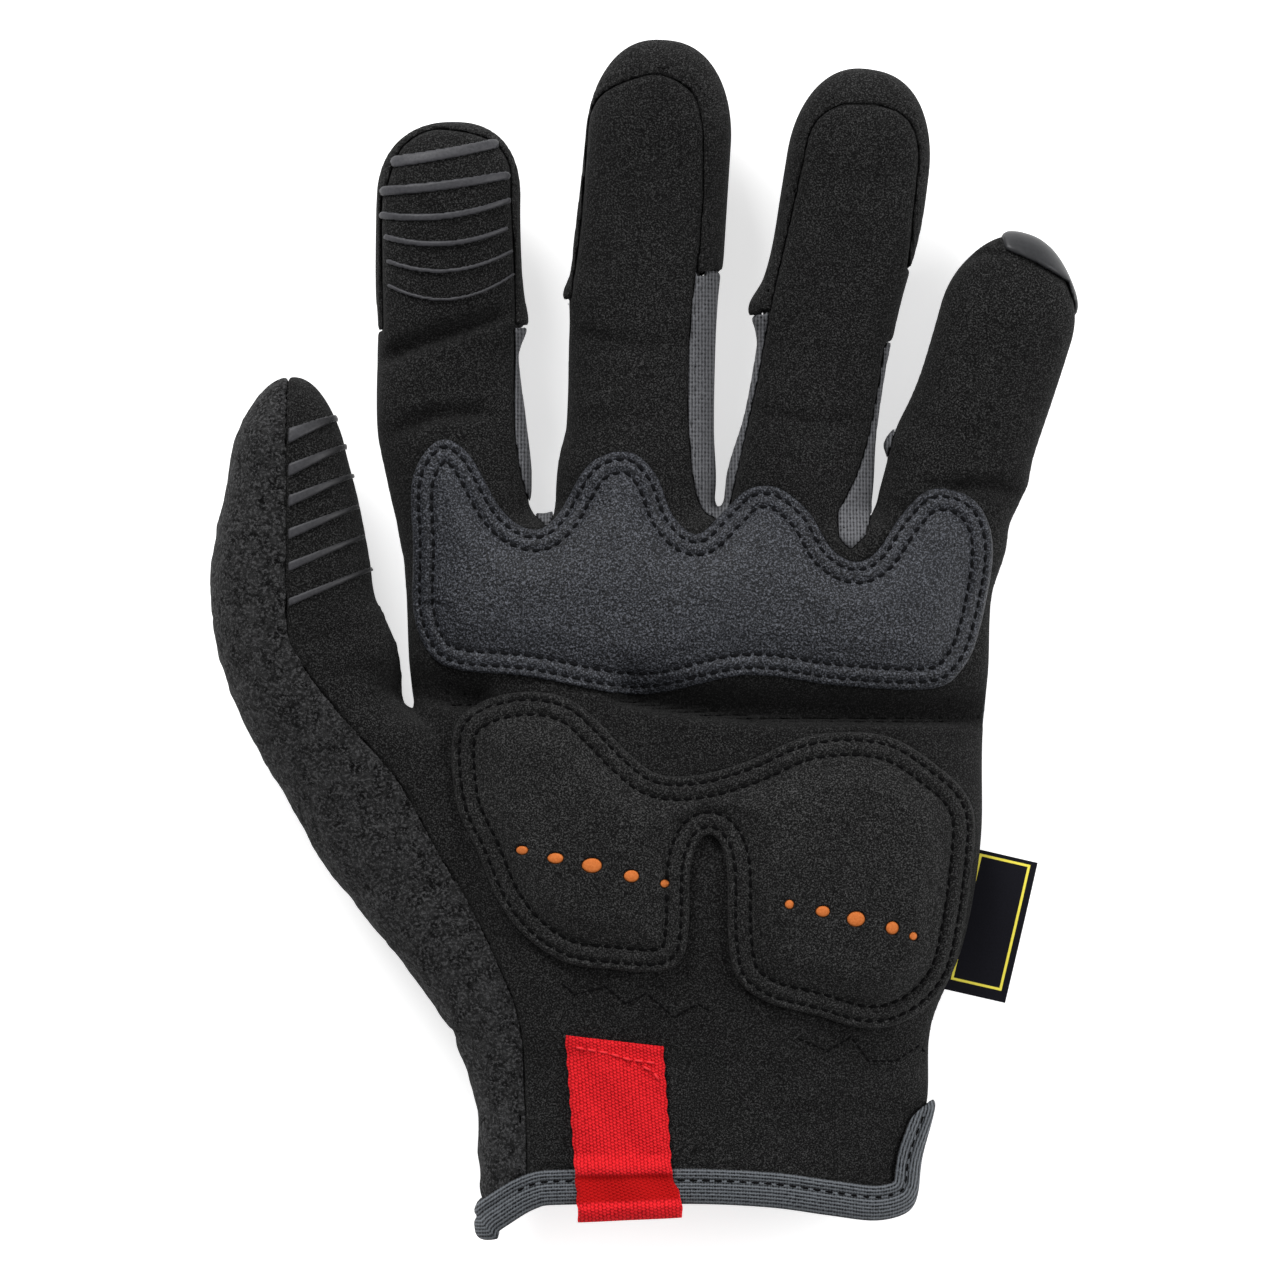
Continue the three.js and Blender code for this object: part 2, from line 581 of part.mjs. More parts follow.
const shell = hand(0).subtract(hand(WALL)).subtract(openEnd(BINDING_TUCK));
const taken = [];

function addPanel(name, region, material) {
  let solid = shell.intersect(region(0));
  for (const neighbour of taken) {
    solid = solid.subtract(neighbour);
  }
  addPiece(name, solid, material);
  taken.push(region(SEAM_GAP));
}

function addShellPanels() {
  addPanel('index_tip_cap', (grow) => tipCap(INDEX, grow), 'suede');
  addPanel('middle_tip_cap', (grow) => tipCap(MIDDLE, grow), 'suede');
  addPanel('ring_tip_cap', (grow) => tipCap(RING, grow), 'suede');
  for (const strip of STRIPS) {
    addPanel(strip.name, (grow) => stripRegion(strip, grow), 'knit');
  }
  addPanel('thumb_panel', thumbSide, 'fleece');
  addPanel('palm_panel', palmSide, 'suede');
  addPanel('back_panel', () => above(-BLOCK), 'knit');
}

// Layers laid on the palm side

function addKnucklePad() {
  const outline = slab(palmOutline(KNUCKLE_PAD, OUTLINE_STEPS), PAD_EDGE_HEIGHT, BLOCK);
  addPiece('knuckle_pad', layer(SEAM_GAP, SEAM_GAP + KNUCKLE_PAD_THICKNESS).intersect(outline), 'pebbled');
}

function addPalmPad() {
  const outline = palmOutline(PALM_PAD, OUTLINE_STEPS);
  const floor = PAD_EDGE_HEIGHT;
  const foamTop = SEAM_GAP + PAD_FOAM_THICKNESS;
  const skinLow = foamTop + SEAM_GAP;
  const hollow = slab(grown(outline, -PAD_RIM), floor, BLOCK).intersect(hand(-skinLow));
  let skin = layer(SEAM_GAP, skinLow + PAD_SKIN_THICKNESS).intersect(slab(outline, floor, BLOCK));
  skin = skin.subtract(hollow);
  for (const hole of VENT_HOLES) {
    const punch = new THREE.CylinderGeometry(hole.diameter / 2, hole.diameter / 2, BLOCK, 8);
    const [x, y] = palmPoint([hole.across, hole.up]);
    punch.rotateX(Math.PI / 2);
    punch.translate(x, y, BLOCK / 2 + floor);
    skin = skin.subtract(solidFrom(punch));
  }
  addPiece('palm_pad', skin, 'suede');
  const foam = slab(grown(outline, -PAD_RIM - SEAM_GAP), floor, BLOCK);
  addPiece('palm_pad_foam', layer(SEAM_GAP, foamTop).intersect(foam), 'foam');
}

const BAR_STEPS = 4;

function addGripBars(digit, finger, bars) {
  const outside = fingerSolid(finger, -SEAM_GAP - BAR_HEIGHT);
  const inside = fingerSolid(finger, -SEAM_GAP);
  const skin = outside.subtract(inside);
  bars.forEach((bar, place) => {
    const thick = bar.thickness / finger.length / 2;
    const upper = [];
    const lower = [];
    for (let step = 0; step <= BAR_STEPS; step += 1) {
      const share = step / BAR_STEPS;
      const across = THREE.MathUtils.lerp(bar.left, bar.right, share);
      const along = bar.along + bar.tilt * share - bar.sag * (1 - (2 * share - 1) ** 2);
      upper.push(fingerPoint(finger, across, along + thick));
      lower.push(fingerPoint(finger, across, along - thick));
    }
    const [, y] = fingerPoint(finger, 0, bar.along);
    const band = slab([...upper, ...lower.reverse()], seamHeight(y) + 1, BLOCK);
    addPiece(`${digit}_grip_bar_${place + 1}`, skin.intersect(band), 'rubber');
  });
}

function addTipGuard() {
  const outline = [
    fingerPoint(LITTLE, GUARD.left, GUARD.high),
    fingerPoint(LITTLE, GUARD.left, 0.97),
    fingerPoint(LITTLE, 0.55, 0.93),
    fingerPoint(LITTLE, 0.78, GUARD.low),
    fingerPoint(LITTLE, GUARD.right, GUARD.low),
    fingerPoint(LITTLE, GUARD.right, GUARD.high),
  ];
  const outside = fingerSolid(LITTLE, -SEAM_GAP - GUARD_THICKNESS);
  const skin = outside.subtract(fingerSolid(LITTLE, -SEAM_GAP));
  addPiece('little_tip_guard', skin.intersect(slab(outline, 0, BLOCK)), 'rubber');
}

// Cuff pieces

function addBinding() {
  const thick = SEAM_GAP + BINDING_THICKNESS;
  const folded = hand(-thick).subtract(hand(WALL + thick));
  const edge = openEnd(BINDING_WIDTH).subtract(openEnd(0));
  const channel = hand(-SEAM_GAP).subtract(hand(WALL + SEAM_GAP)).subtract(openEnd(BINDING_TUCK - SEAM_GAP));
  addPiece('cuff_binding', folded.intersect(edge).subtract(channel), 'binding');
}

// The webbing strip lies on the palm, steps up over the binding, folds round the cuff's edge
// and ends inside.
function tabStretch(from, to, halfWidth) {
  const [middle] = palmPoint([TAB_PLACE, 0]);
  const corners = [[-1, from], [1, from], [1, to], [-1, to]];
  const turned = corners.map(([side, y]) => (
    new THREE.Vector2(side * halfWidth, y - CUFF_HEIGHT)
      .rotateAround(new THREE.Vector2(), THREE.MathUtils.degToRad(TAB_LEAN))
      .add(new THREE.Vector2(middle, CUFF_HEIGHT))
      .toArray()
  ));
  return slab(turned, seamHeight(CUFF_HEIGHT), BLOCK);
}

function addPullTab() {
  const over = SEAM_GAP + BINDING_THICKNESS + SEAM_GAP;
  const under = WALL + over;
  const foot = CUFF_HEIGHT - TAB_FOLD;
  const step = CUFF_HEIGHT + BINDING_WIDTH + 2 * SEAM_GAP;
  const along = (from, to) => tabStretch(from, to, TAB_WIDTH);
  const top = hand(-over - TAB_THICKNESS).intersect(along(-BLOCK, step + TAB_THICKNESS));
  const outside = hand(-SEAM_GAP - TAB_THICKNESS).add(top);
  const core = hand(-SEAM_GAP).add(hand(-over).intersect(along(-BLOCK, step)));
  const cuffWall = core.subtract(hand(under)).intersect(along(foot + TAB_THICKNESS, BLOCK));
  const inside = hand(under).intersect(along(foot + TAB_TAIL, BLOCK));
  const strip = outside
    .intersect(tabStretch(foot, foot + TAB_LENGTH, TAB_WIDTH / 2))
    .subtract(cuffWall)
    .subtract(inside)
    .subtract(hand(under + TAB_THICKNESS));
  addPiece('pull_tab', strip, 'webbing');
}

function addSideLabel() {
  const lean = THREE.MathUtils.degToRad(LABEL_LEAN);
  const [cornerX, cornerY] = palmPoint([0.90, 0.501]);
  const down = [-Math.sin(lean) * LABEL_LENGTH, -Math.cos(lean) * LABEL_LENGTH];
  const out = [Math.cos(lean) * (LABEL_WIDTH + 2), -Math.sin(lean) * (LABEL_WIDTH + 2)];
  const outline = [
    [cornerX, cornerY],
    [cornerX + out[0], cornerY + out[1]],
    [cornerX + out[0] + down[0], cornerY + out[1] + down[1]],
    [cornerX + down[0], cornerY + down[1]],
  ];
  const height = seamHeight(cornerY) + SEAM_GAP;
  const flag = slab(outline, height, height + LABEL_THICKNESS);
  addPiece('side_label', flag.subtract(hand(-SEAM_GAP)), 'label');
}

addShellPanels();
addKnucklePad();
addPalmPad();
addGripBars('index', INDEX, INDEX_BARS);
addGripBars('thumb', THUMB, THUMB_BARS);
addTipGuard();
addBinding();
addPullTab();
addSideLabel();

// The origin lies on the floor, under the middle of the glove
const bounds = new THREE.Box3().setFromObject(glove);
const middle = bounds.getCenter(new THREE.Vector3());
glove.position.set(-middle.x, -middle.y, -bounds.min.z);

export default glove;
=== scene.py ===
"""A left-hand mechanic glove, filled and lying palm up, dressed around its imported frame."""

import math

import bmesh
import bpy
import numpy as np
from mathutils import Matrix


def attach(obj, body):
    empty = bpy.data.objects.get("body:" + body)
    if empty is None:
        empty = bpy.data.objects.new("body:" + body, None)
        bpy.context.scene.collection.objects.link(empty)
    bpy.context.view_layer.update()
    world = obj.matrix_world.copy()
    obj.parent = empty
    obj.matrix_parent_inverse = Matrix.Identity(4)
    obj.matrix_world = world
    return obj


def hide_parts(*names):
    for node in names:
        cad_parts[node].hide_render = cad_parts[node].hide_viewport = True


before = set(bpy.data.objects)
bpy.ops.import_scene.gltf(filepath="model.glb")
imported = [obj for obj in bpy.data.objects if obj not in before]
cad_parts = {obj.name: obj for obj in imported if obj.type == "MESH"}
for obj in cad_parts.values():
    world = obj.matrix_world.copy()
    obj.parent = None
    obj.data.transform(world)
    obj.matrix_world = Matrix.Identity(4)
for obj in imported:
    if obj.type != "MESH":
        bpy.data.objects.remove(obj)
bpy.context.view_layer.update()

# Lengths below are in millimetres, in the part's own frame. Blender's metres come in at the end.
METRE = 0.001

# Sizes of the hand shape
PALM_LENGTH = 140.0
PALM_WIDTH = 120.0
PALM_THICKNESS = 33.0
PALM_CENTRE = 11.7
CUFF_HEIGHT = -111.4
FINGER_THICKNESS = 22.0
THUMB_THICKNESS = 26.0
WALL = 2.0
SEAM_GAP = 0.3
ROUNDNESS = 2.4

# Spacing of the webbing's picks across the tab and along it
WEAVE_COLUMN = 1.4
WEAVE_ROW = 0.65

# How finely the surfaces are sampled
PANEL_STEP = 0.65
PAD_STEP = 0.42
TRIM_STEP = 0.4
TAB_STEP = 0.3
LABEL_STEP = 0.6

# Sections of the palm at shares of its length: left and right are shares of half its width, low and high
# of its thickness
PALM_SECTIONS = {
    "up": (-0.12, 0.00, 0.06, 0.14, 0.25, 0.36, 0.50, 0.66, 0.76, 0.86, 0.94, 1.00),
    "left": (-0.71, -0.73, -0.74, -0.75, -0.83, -0.86, -0.89, -0.94, -0.97, -0.98, -0.99, -0.99),
    "right": (0.64, 0.695, 0.71, 0.755, 0.77, 0.87, 0.93, 0.94, 0.96, 0.97, 1.01, 1.00),
    "low": (0.06, 0.04, 0.02, 0.00, -0.04, -0.05, -0.05, -0.05, -0.05, -0.04, 0.02, 0.08),
    "high": (0.86, 0.86, 0.855, 0.85, 0.88, 0.95, 1.00, 0.96, 0.91, 0.93, 0.88, 0.84),
}
PALM_END = 0.987
PALM_END_ROUNDING = 0.05

# Each digit: its root on the palm, its lean in degrees, its sizes, where its tip's rounding starts, and its
# sections at shares of its length. left and right are shares of half its width, rise is its middle's height
# and depth its thickness, as shares of the thickness. A tip cap starts at cap_left and cap_right and has its
# arched seam through the points of arch.
INDEX = {
    "root": (-0.805, 0.867), "lean": -1.0, "length": 94.0, "width": 29.0,
    "thickness": FINGER_THICKNESS, "dome": 0.83, "dome_power": 2.2,
    "along": (0.00, 0.08, 0.15, 0.24, 0.37, 0.50, 0.57, 0.64, 0.78, 1.00),
    "left": (-0.58, -0.70, -0.83, -0.96, -1.09, -1.07, -1.05, -1.07, -1.05, -0.99),
    "right": (0.90, 0.95, 1.00, 1.05, 0.98, 0.90, 1.03, 0.97, 0.94, 1.02),
    "rise": (0.72, 0.72, 0.72, 0.72, 0.70, 0.70, 0.72, 0.74, 0.79, 0.83),
    "depth": (0.90, 0.93, 0.96, 1.00, 0.98, 0.94, 0.97, 0.95, 0.90, 0.84),
    "cap_left": 0.56, "cap_right": 0.565,
    "arch": ((0.86, 0.46), (0.84, 0.70), (0.812, 0.834), (0.79, 0.909), (0.509, 0.959),
             (-0.151, 0.982), (-0.652, 0.945), (-0.883, 0.856), (-0.96, 0.80), (-0.97, 0.46)),
}
MIDDLE = {
    "root": (-0.235, 0.867), "lean": 3.6, "length": 110.6, "width": 29.6,
    "thickness": FINGER_THICKNESS, "dome": 0.82, "dome_power": 1.95,
    "along": (0.00, 0.20, 0.30, 0.44, 0.50, 0.53, 0.57, 0.62, 0.84, 1.00),
    "left": (-0.80, -1.12, -1.00, -1.04, -1.08, -1.16, -1.08, -1.06, -0.99, -0.99),
    "right": (0.80, 1.08, 1.01, 0.96, 0.95, 0.95, 0.96, 0.98, 0.98, 0.98),
    "rise": (0.72, 0.72, 0.70, 0.69, 0.70, 0.70, 0.71, 0.72, 0.78, 0.82),
    "depth": (0.90, 1.00, 0.99, 0.95, 0.96, 0.97, 0.96, 0.95, 0.90, 0.84),
    "cap_left": 0.515, "cap_right": 0.60,
    "arch": ((0.64, 0.42), (0.635, 0.605), (0.637, 0.718), (0.60, 0.80), (0.56, 0.853), (0.387, 0.906),
             (-0.1, 0.932), (-0.695, 0.902), (-0.925, 0.862), (-0.955, 0.80), (-0.965, 0.66), (-1.03, 0.53),
             (-1.05, 0.42)),
}
RING = {
    "root": (0.275, 0.867), "lean": 9.3, "length": 106.0, "width": 27.6,
    "thickness": FINGER_THICKNESS, "dome": 0.82, "dome_power": 2.05,
    "along": (0.00, 0.20, 0.32, 0.45, 0.48, 0.52, 0.58, 0.74, 0.84, 1.00),
    "left": (-0.80, -1.10, -0.99, -0.97, -1.03, -1.17, -1.02, -0.97, -0.97, -0.97),
    "right": (0.80, 1.06, 0.98, 0.96, 0.97, 0.98, 1.01, 1.12, 1.10, 1.06),
    "rise": (0.72, 0.71, 0.70, 0.69, 0.70, 0.70, 0.72, 0.76, 0.78, 0.82),
    "depth": (0.88, 0.98, 0.96, 0.93, 0.94, 0.95, 0.94, 0.91, 0.89, 0.84),
    "cap_left": 0.495, "cap_right": 0.655,
    "arch": ((1.04, 0.40), (1.00, 0.655), (0.96, 0.734), (0.90, 0.848), (0.749, 0.90), (0.475, 0.925),
             (0.037, 0.928), (-0.388, 0.915), (-0.67, 0.871), (-0.724, 0.79), (-0.76, 0.70),
             (-0.824, 0.562), (-0.88, 0.40)),
}
LITTLE = {
    "root": (0.735, 0.867), "lean": 17.0, "length": 73.8, "width": 27.6,
    "thickness": FINGER_THICKNESS, "dome": 0.76, "dome_power": 1.75,
    "along": (0.00, 0.22, 0.32, 0.36, 0.44, 0.60, 0.74, 0.86, 1.00),
    "left": (-0.80, -1.02, -1.08, -1.17, -1.03, -0.94, -0.95, -0.97, -0.90),
    "right": (0.92, 0.92, 0.99, 1.02, 0.98, 1.00, 1.01, 1.00, 0.78),
    "rise": (0.68, 0.68, 0.68, 0.68, 0.69, 0.71, 0.74, 0.76, 0.78),
    "depth": (0.84, 0.90, 0.90, 0.90, 0.89, 0.87, 0.85, 0.83, 0.80),
}
THUMB = {
    "root": (-1.362, 0.246), "lean": 0.0, "length": 130.0, "width": 34.0,
    "thickness": THUMB_THICKNESS, "dome": 0.90, "dome_power": 1.6,
    "along": (0.00, 0.09, 0.18, 0.27, 0.35, 0.44, 0.50, 0.54, 0.57, 0.60, 0.63, 0.66, 0.72, 0.81, 0.90, 1.00),
    "left": (1.85, 1.36, 0.80, 0.30, -0.05, -0.44, -0.67, -0.78, -0.85, -0.90, -0.93, -0.95, -0.94, -0.80,
             -0.66, -0.50),
    "right": (3.10, 3.10, 3.05, 2.95, 2.75, 2.10, 1.33, 1.30, 1.27, 1.20, 1.10, 0.99, 0.92, 0.79, 0.62, 0.50),
    "rise": (0.50, 0.50, 0.51, 0.52, 0.53, 0.55, 0.565, 0.575, 0.585, 0.60, 0.61, 0.62, 0.64, 0.67,
             0.70, 0.72),
    "depth": (0.80, 0.86, 0.92, 0.97, 1.01, 1.04, 1.05, 1.045, 1.04, 1.02, 1.01, 1.00, 0.97, 0.92,
              0.84, 0.70),
}
FINGERS = (INDEX, MIDDLE, RING, LITTLE, THUMB)

# Height of the side seam, as shares of the palm's and the fingers' thickness
SEAM_PLACES = (CUFF_HEIGHT, CUFF_HEIGHT + PALM_LENGTH, CUFF_HEIGHT + PALM_LENGTH + MIDDLE["length"])
SEAM_HEIGHTS = (0.42 * PALM_THICKNESS, 0.45 * PALM_THICKNESS, 0.72 * FINGER_THICKNESS)

# Outlines on the palm: across is a share of half its width, up of its length
THUMB_SEAM = (
    (-1.37, 1.25), (-1.37, 0.86), (-1.32, 0.77), (-1.20, 0.70), (-1.00, 0.60), (-0.87, 0.50),
    (-0.77, 0.43), (-0.67, 0.34), (-0.60, 0.26), (-0.58, 0.14), (-0.57, -0.12),
)
THUMB_BACK_SEAM = (
    (-1.13, 1.25), (-1.13, 0.92), (-1.05, 0.86), (-0.99, 0.78), (-0.93, 0.62), (-0.84, 0.50),
    (-0.76, 0.43), (-0.67, 0.34), (-0.60, 0.26), (-0.58, 0.14), (-0.57, -0.12),
)
KNUCKLE_PAD = (
    (-0.955, 0.93), (-0.955, 1.03), (-0.87, 1.083), (-0.77, 1.065), (-0.66, 0.985), (-0.56, 0.957),
    (-0.48, 0.975), (-0.37, 1.05), (-0.24, 1.067), (-0.15, 1.035), (-0.09, 0.975), (-0.01, 0.95),
    (0.08, 0.985), (0.16, 1.015), (0.26, 1.015), (0.36, 0.98), (0.43, 0.93), (0.51, 0.911),
    (0.58, 0.925), (0.66, 0.975), (0.75, 1.012), (0.86, 1.01), (0.94, 0.98), (0.97, 0.92),
    (0.93, 0.82), (0.87, 0.76), (0.76, 0.73), (0.45, 0.735), (0.15, 0.75), (-0.20, 0.722),
    (-0.57, 0.748), (-0.80, 0.757), (-0.90, 0.78), (-0.955, 0.84),
)
PALM_PAD = (
    (-0.82, 0.67), (-0.81, 0.57), (-0.74, 0.50), (-0.67, 0.43), (-0.58, 0.38), (-0.45, 0.344),
    (-0.30, 0.334), (-0.14, 0.331), (-0.06, 0.352), (-0.04, 0.40), (-0.035, 0.48), (0.00, 0.52),
    (0.05, 0.52), (0.085, 0.48), (0.09, 0.38), (0.12, 0.32), (0.22, 0.287), (0.38, 0.268),
    (0.54, 0.249), (0.67, 0.257), (0.79, 0.295), (0.86, 0.36), (0.91, 0.52), (0.88, 0.58),
    (0.78, 0.622), (0.64, 0.66), (0.48, 0.67), (0.32, 0.66), (0.16, 0.63), (0.00, 0.61),
    (-0.14, 0.61), (-0.24, 0.64), (-0.33, 0.68), (-0.43, 0.715), (-0.57, 0.727), (-0.73, 0.712),
)
PAD_EDGE_HEIGHT = 20.0
PAD_RIM = 2.6

# Punched vent holes of the palm pad: across, up, width and height
VENT_HOLES = (
    (-0.59, 0.503, 2.4, 1.7), (-0.48, 0.492, 3.2, 2.1), (-0.36, 0.482, 4.0, 2.9), (-0.23, 0.467, 3.0, 2.4),
    (-0.12, 0.456, 1.8, 1.6), (0.29, 0.427, 1.8, 1.8), (0.40, 0.417, 2.8, 2.2), (0.51, 0.406, 3.6, 3.0),
    (0.63, 0.393, 2.6, 2.6), (0.70, 0.381, 1.6, 1.6),
)

CUFF_EDGE = ((-1.30, -0.062), (-0.73, -0.058), (-0.66, -0.040), (-0.55, -0.010), (-0.45, -0.003))
CUFF_EDGE_PALM_SIDE = (
    (-0.06, -0.001), (0.22, -0.006), (0.42, -0.018), (0.58, -0.027), (0.70, -0.016), (0.755, 0.012),
    (0.775, 0.060), (0.83, 0.125), (0.86, 0.180), (1.30, 0.180),
)
CUFF_EDGE_BACK = ((0.60, -0.003), (1.30, -0.003))
FAR = 400.0

# Grip bars: the left end's share of the digit's length, what the right end gains on it, what
# the middle loses, the two ends across, the left end's thickness and the right end's share of it
INDEX_BARS = (
    (0.915, 0.034, 0.004, -0.75, 0.60, 2.5, 0.9),
    (0.853, 0.028, 0.006, -0.92, 0.76, 2.1, 0.9),
    (0.802, 0.026, 0.019, -0.95, 0.79, 1.6, 0.8),
    (0.755, 0.013, 0.024, -0.90, 0.75, 1.3, 0.8),
    (0.704, 0.017, 0.032, -0.88, 0.82, 1.0, 0.8),
    (0.653, 0.019, 0.042, -0.88, 0.84, 0.8, 0.8),
)
THUMB_BARS = (
    (0.904, 0.035, 0.0, -0.08, 0.56, 3.2, 0.45),
    (0.851, 0.043, 0.0, -0.08, 0.66, 2.7, 0.45),
    (0.804, 0.045, 0.0, -0.08, 0.73, 2.5, 0.45),
    (0.754, 0.047, 0.0, -0.08, 0.79, 2.3, 0.45),
    (0.704, 0.051, 0.0, -0.08, 0.86, 2.0, 0.5),
    (0.650, 0.055, 0.0, -0.08, 0.94, 1.7, 0.6),
)

# Knit side strips between two fingers: the seam on the first finger's palm side from its upper end
# down to the fork, and the seam on the second finger's side
STRIPS = (
    ("index_middle_strip", INDEX, MIDDLE,
     ((1.30, 0.575), (0.862, 0.575), (0.82, 0.51), (0.80, 0.409), (0.815, 0.324), (0.896, 0.238),
      (1.00, 0.185), (1.10, 0.155)),
     ((-1.10, 0.10), (-1.06, 0.56))),
    ("middle_ring_strip", MIDDLE, RING,
     ((1.30, 0.615), (0.642, 0.615), (0.60, 0.594), (0.572, 0.482), (0.605, 0.355), (0.674, 0.265),
      (0.776, 0.193), (0.913, 0.155), (1.04, 0.145)),
     ((-0.98, 0.10), (-0.90, 0.28), (-0.85, 0.40), (-0.84, 0.52))),
    ("ring_little_strip", RING, LITTLE,
     ((1.30, 0.50), (0.90, 0.50), (0.865, 0.42), (0.84, 0.33), (0.77, 0.252), (0.64, 0.192),
      (0.575, 0.162), (0.646, 0.119), (0.848, 0.098)),
     ((-1.02, 0.10), (-1.04, 0.40))),
)


# Places on the glove

def palm_point(across, up):
    return (PALM_CENTRE + across * PALM_WIDTH / 2, CUFF_HEIGHT + up * PALM_LENGTH)


def finger_point(finger, across, along):
    root_x, root_y = palm_point(*finger["root"])
    lean = math.radians(finger["lean"])
    out = along * finger["length"]
    aside = across * finger["width"] / 2
    return (root_x + out * math.sin(lean) + aside * math.cos(lean),
            root_y + out * math.cos(lean) - aside * math.sin(lean))


def palm_line(points):
    return [palm_point(*point) for point in points]


def finger_line(finger, points):
    return [finger_point(finger, *point) for point in points]


def seam_height(y):
    return np.interp(y, SEAM_PLACES, SEAM_HEIGHTS)


def smooth_column(places, values, at):
    """A column of a section table, joined by a smooth curve that is level where its rows turn."""
    places = np.asarray(places, float)
    values = np.asarray(values, float)
    slope = np.diff(values) / np.diff(places)
    tangent = np.concatenate(([slope[0]], (slope[:-1] + slope[1:]) / 2, [slope[-1]]))
    turning = slope[:-1] * slope[1:] <= 0
    tangent[1:-1][turning] = 0
    at = np.clip(at, places[0], places[-1])
    row = np.clip(np.searchsorted(places, at, side="right") - 1, 0, len(places) - 2)
    span = places[row + 1] - places[row]
    t = (at - places[row]) / span
    return ((2 * t**3 - 3 * t**2 + 1) * values[row] + (t**3 - 2 * t**2 + t) * span * tangent[row]
            + (3 * t**2 - 2 * t**3) * values[row + 1] + (t**3 - t**2) * span * tangent[row + 1])


def closed_curve(points, steps):
    """A smooth closed curve through points, as an array of steps points."""
    stops = np.asarray(points, float)
    count = len(stops)
    at = np.linspace(0, count, steps, endpoint=False)
    row = at.astype(int)
    t = (at - row)[:, None]
    before, start, end, after = (stops[(row + shift) % count] for shift in (-1, 0, 1, 2))
    return 0.5 * (2 * start + (end - before) * t + (2 * before - 5 * start + 4 * end - after) * t**2
                  + (3 * start - before - 3 * end + after) * t**3)


def open_curve(points, steps):
    stops = np.asarray(points, float)
    reach = np.linspace(0, 1, len(stops))
    at = np.linspace(0, 1, steps)
    return np.stack([smooth_column(reach, stops[:, axis], at) for axis in (0, 1)], axis=1)


# Signed distances, negative inside

def line_distance(points, x, y, closed=False):
    """Distance from every place of a plane grid to a line through points."""
    points = np.asarray(points, float)
    ends = np.roll(points, -1, axis=0) if closed else points[1:]
    starts = points if closed else points[:-1]
    best = np.full(np.broadcast(x, y).shape, 1e9, np.float32)
    for (ax, ay), (bx, by) in zip(starts, ends):
        dx, dy = bx - ax, by - ay
        long = dx * dx + dy * dy + 1e-12
        t = np.clip(((x - ax) * dx + (y - ay) * dy) / long, 0, 1)
        best = np.minimum(best, (x - ax - t * dx) ** 2 + (y - ay - t * dy) ** 2)
    return np.sqrt(best)


def outline_distance(points, x, y):
    """Signed distance to a closed outline in the plane."""
    points = np.asarray(points, float)
    inside = np.zeros(np.broadcast(x, y).shape, bool)
    for (ax, ay), (bx, by) in zip(points, np.roll(points, -1, axis=0)):
        if ay == by:
            continue
        crosses = (ay > y) != (by > y)
        inside ^= crosses & (x < ax + (y - ay) * (bx - ax) / (by - ay))
    distance = line_distance(points, x, y, closed=True)
    return np.where(inside, -distance, distance)


def soft_max(one, other, radius):
    overlap = np.maximum(radius - np.abs(one - other), 0) / radius
    return np.maximum(one, other) + overlap * overlap * (radius / 4)


def soft_min(one, other, radius):
    return -soft_max(-one, -other, radius)


def smooth_step(value):
    t = np.clip(value, 0, 1)
    return t * t * (3 - 2 * t)


class Block:
    """A box of space sampled at even steps."""

    def __init__(self, low, high, step):
        axes = [np.arange(a, b + step, step, dtype=np.float32) for a, b in zip(low, high)]
        self.low = np.array(low, float)
        self.step = step
        self.x = axes[0][:, None]
        self.y = axes[1][None, :]
        self.z = axes[2][None, None, :]
        self.shape = tuple(len(axis) for axis in axes)


FIELD_REACH = 9.0


def solid_distance(roundness, block):
    """Turns a field that is 1 on the skin into a distance by its own slope."""
    slopes = np.gradient(roundness, block.step)
    steepness = np.sqrt(sum(slope * slope for slope in slopes)) + 1e-4
    return np.clip((roundness - 1) / steepness, -FIELD_REACH, FIELD_REACH).astype(np.float32)


def section_field(block, aside, centre, half, height, depth, ended):
    """A loft whose sections are rounded rectangles, from plane arrays of their sizes.

    ended runs from 0 where the end's rounding starts to 1 at the tip."""
    across = (np.abs((aside - centre) / half) ** ROUNDNESS + ended)[:, :, None]
    up = np.abs((block.z - height[:, :, None]) / depth[:, :, None]) ** ROUNDNESS
    return solid_distance((across + up) ** (1 / ROUNDNESS), block)


def rounded_end(along, start, end, power):
    return np.maximum((along - start) / (end - start), 0) ** power


def palm_field(block):
    up = (block.y - CUFF_HEIGHT) / PALM_LENGTH + 0 * block.x
    columns = {name: smooth_column(PALM_SECTIONS["up"], PALM_SECTIONS[name], up)
               for name in ("left", "right", "low", "high")}
    half = (columns["right"] - columns["left"]) * PALM_WIDTH / 4
    centre = PALM_CENTRE + (columns["right"] + columns["left"]) * PALM_WIDTH / 4
    depth = (columns["high"] - columns["low"]) * PALM_THICKNESS / 2
    height = (columns["high"] + columns["low"]) * PALM_THICKNESS / 2
    ended = rounded_end(up, PALM_END - PALM_END_ROUNDING, PALM_END, ROUNDNESS)
    return section_field(block, block.x + 0 * block.y, centre, half, height, depth, ended)


def finger_axes(block, finger):
    """Shares along a finger and millimetres across it, over the plane."""
    root_x, root_y = palm_point(*finger["root"])
    lean = math.radians(finger["lean"])
    along = ((block.x - root_x) * math.sin(lean) + (block.y - root_y) * math.cos(lean)) / finger["length"]
    return along, (block.x - root_x) * math.cos(lean) - (block.y - root_y) * math.sin(lean)


def finger_field(block, finger):
    along, aside = finger_axes(block, finger)
    columns = {name: smooth_column(finger["along"], finger[name], along)
               for name in ("left", "right", "rise", "depth")}
    half = (columns["right"] - columns["left"]) * finger["width"] / 4
    centre = (columns["right"] + columns["left"]) * finger["width"] / 4
    depth = columns["depth"] * finger["thickness"] / 2
    height = columns["rise"] * finger["thickness"]
    ended = rounded_end(along, finger["dome"], 1, finger["dome_power"])
    field = section_field(block, aside, centre, half, height, depth, ended)
    return np.maximum(field, (-along * finger["length"])[:, :, None])


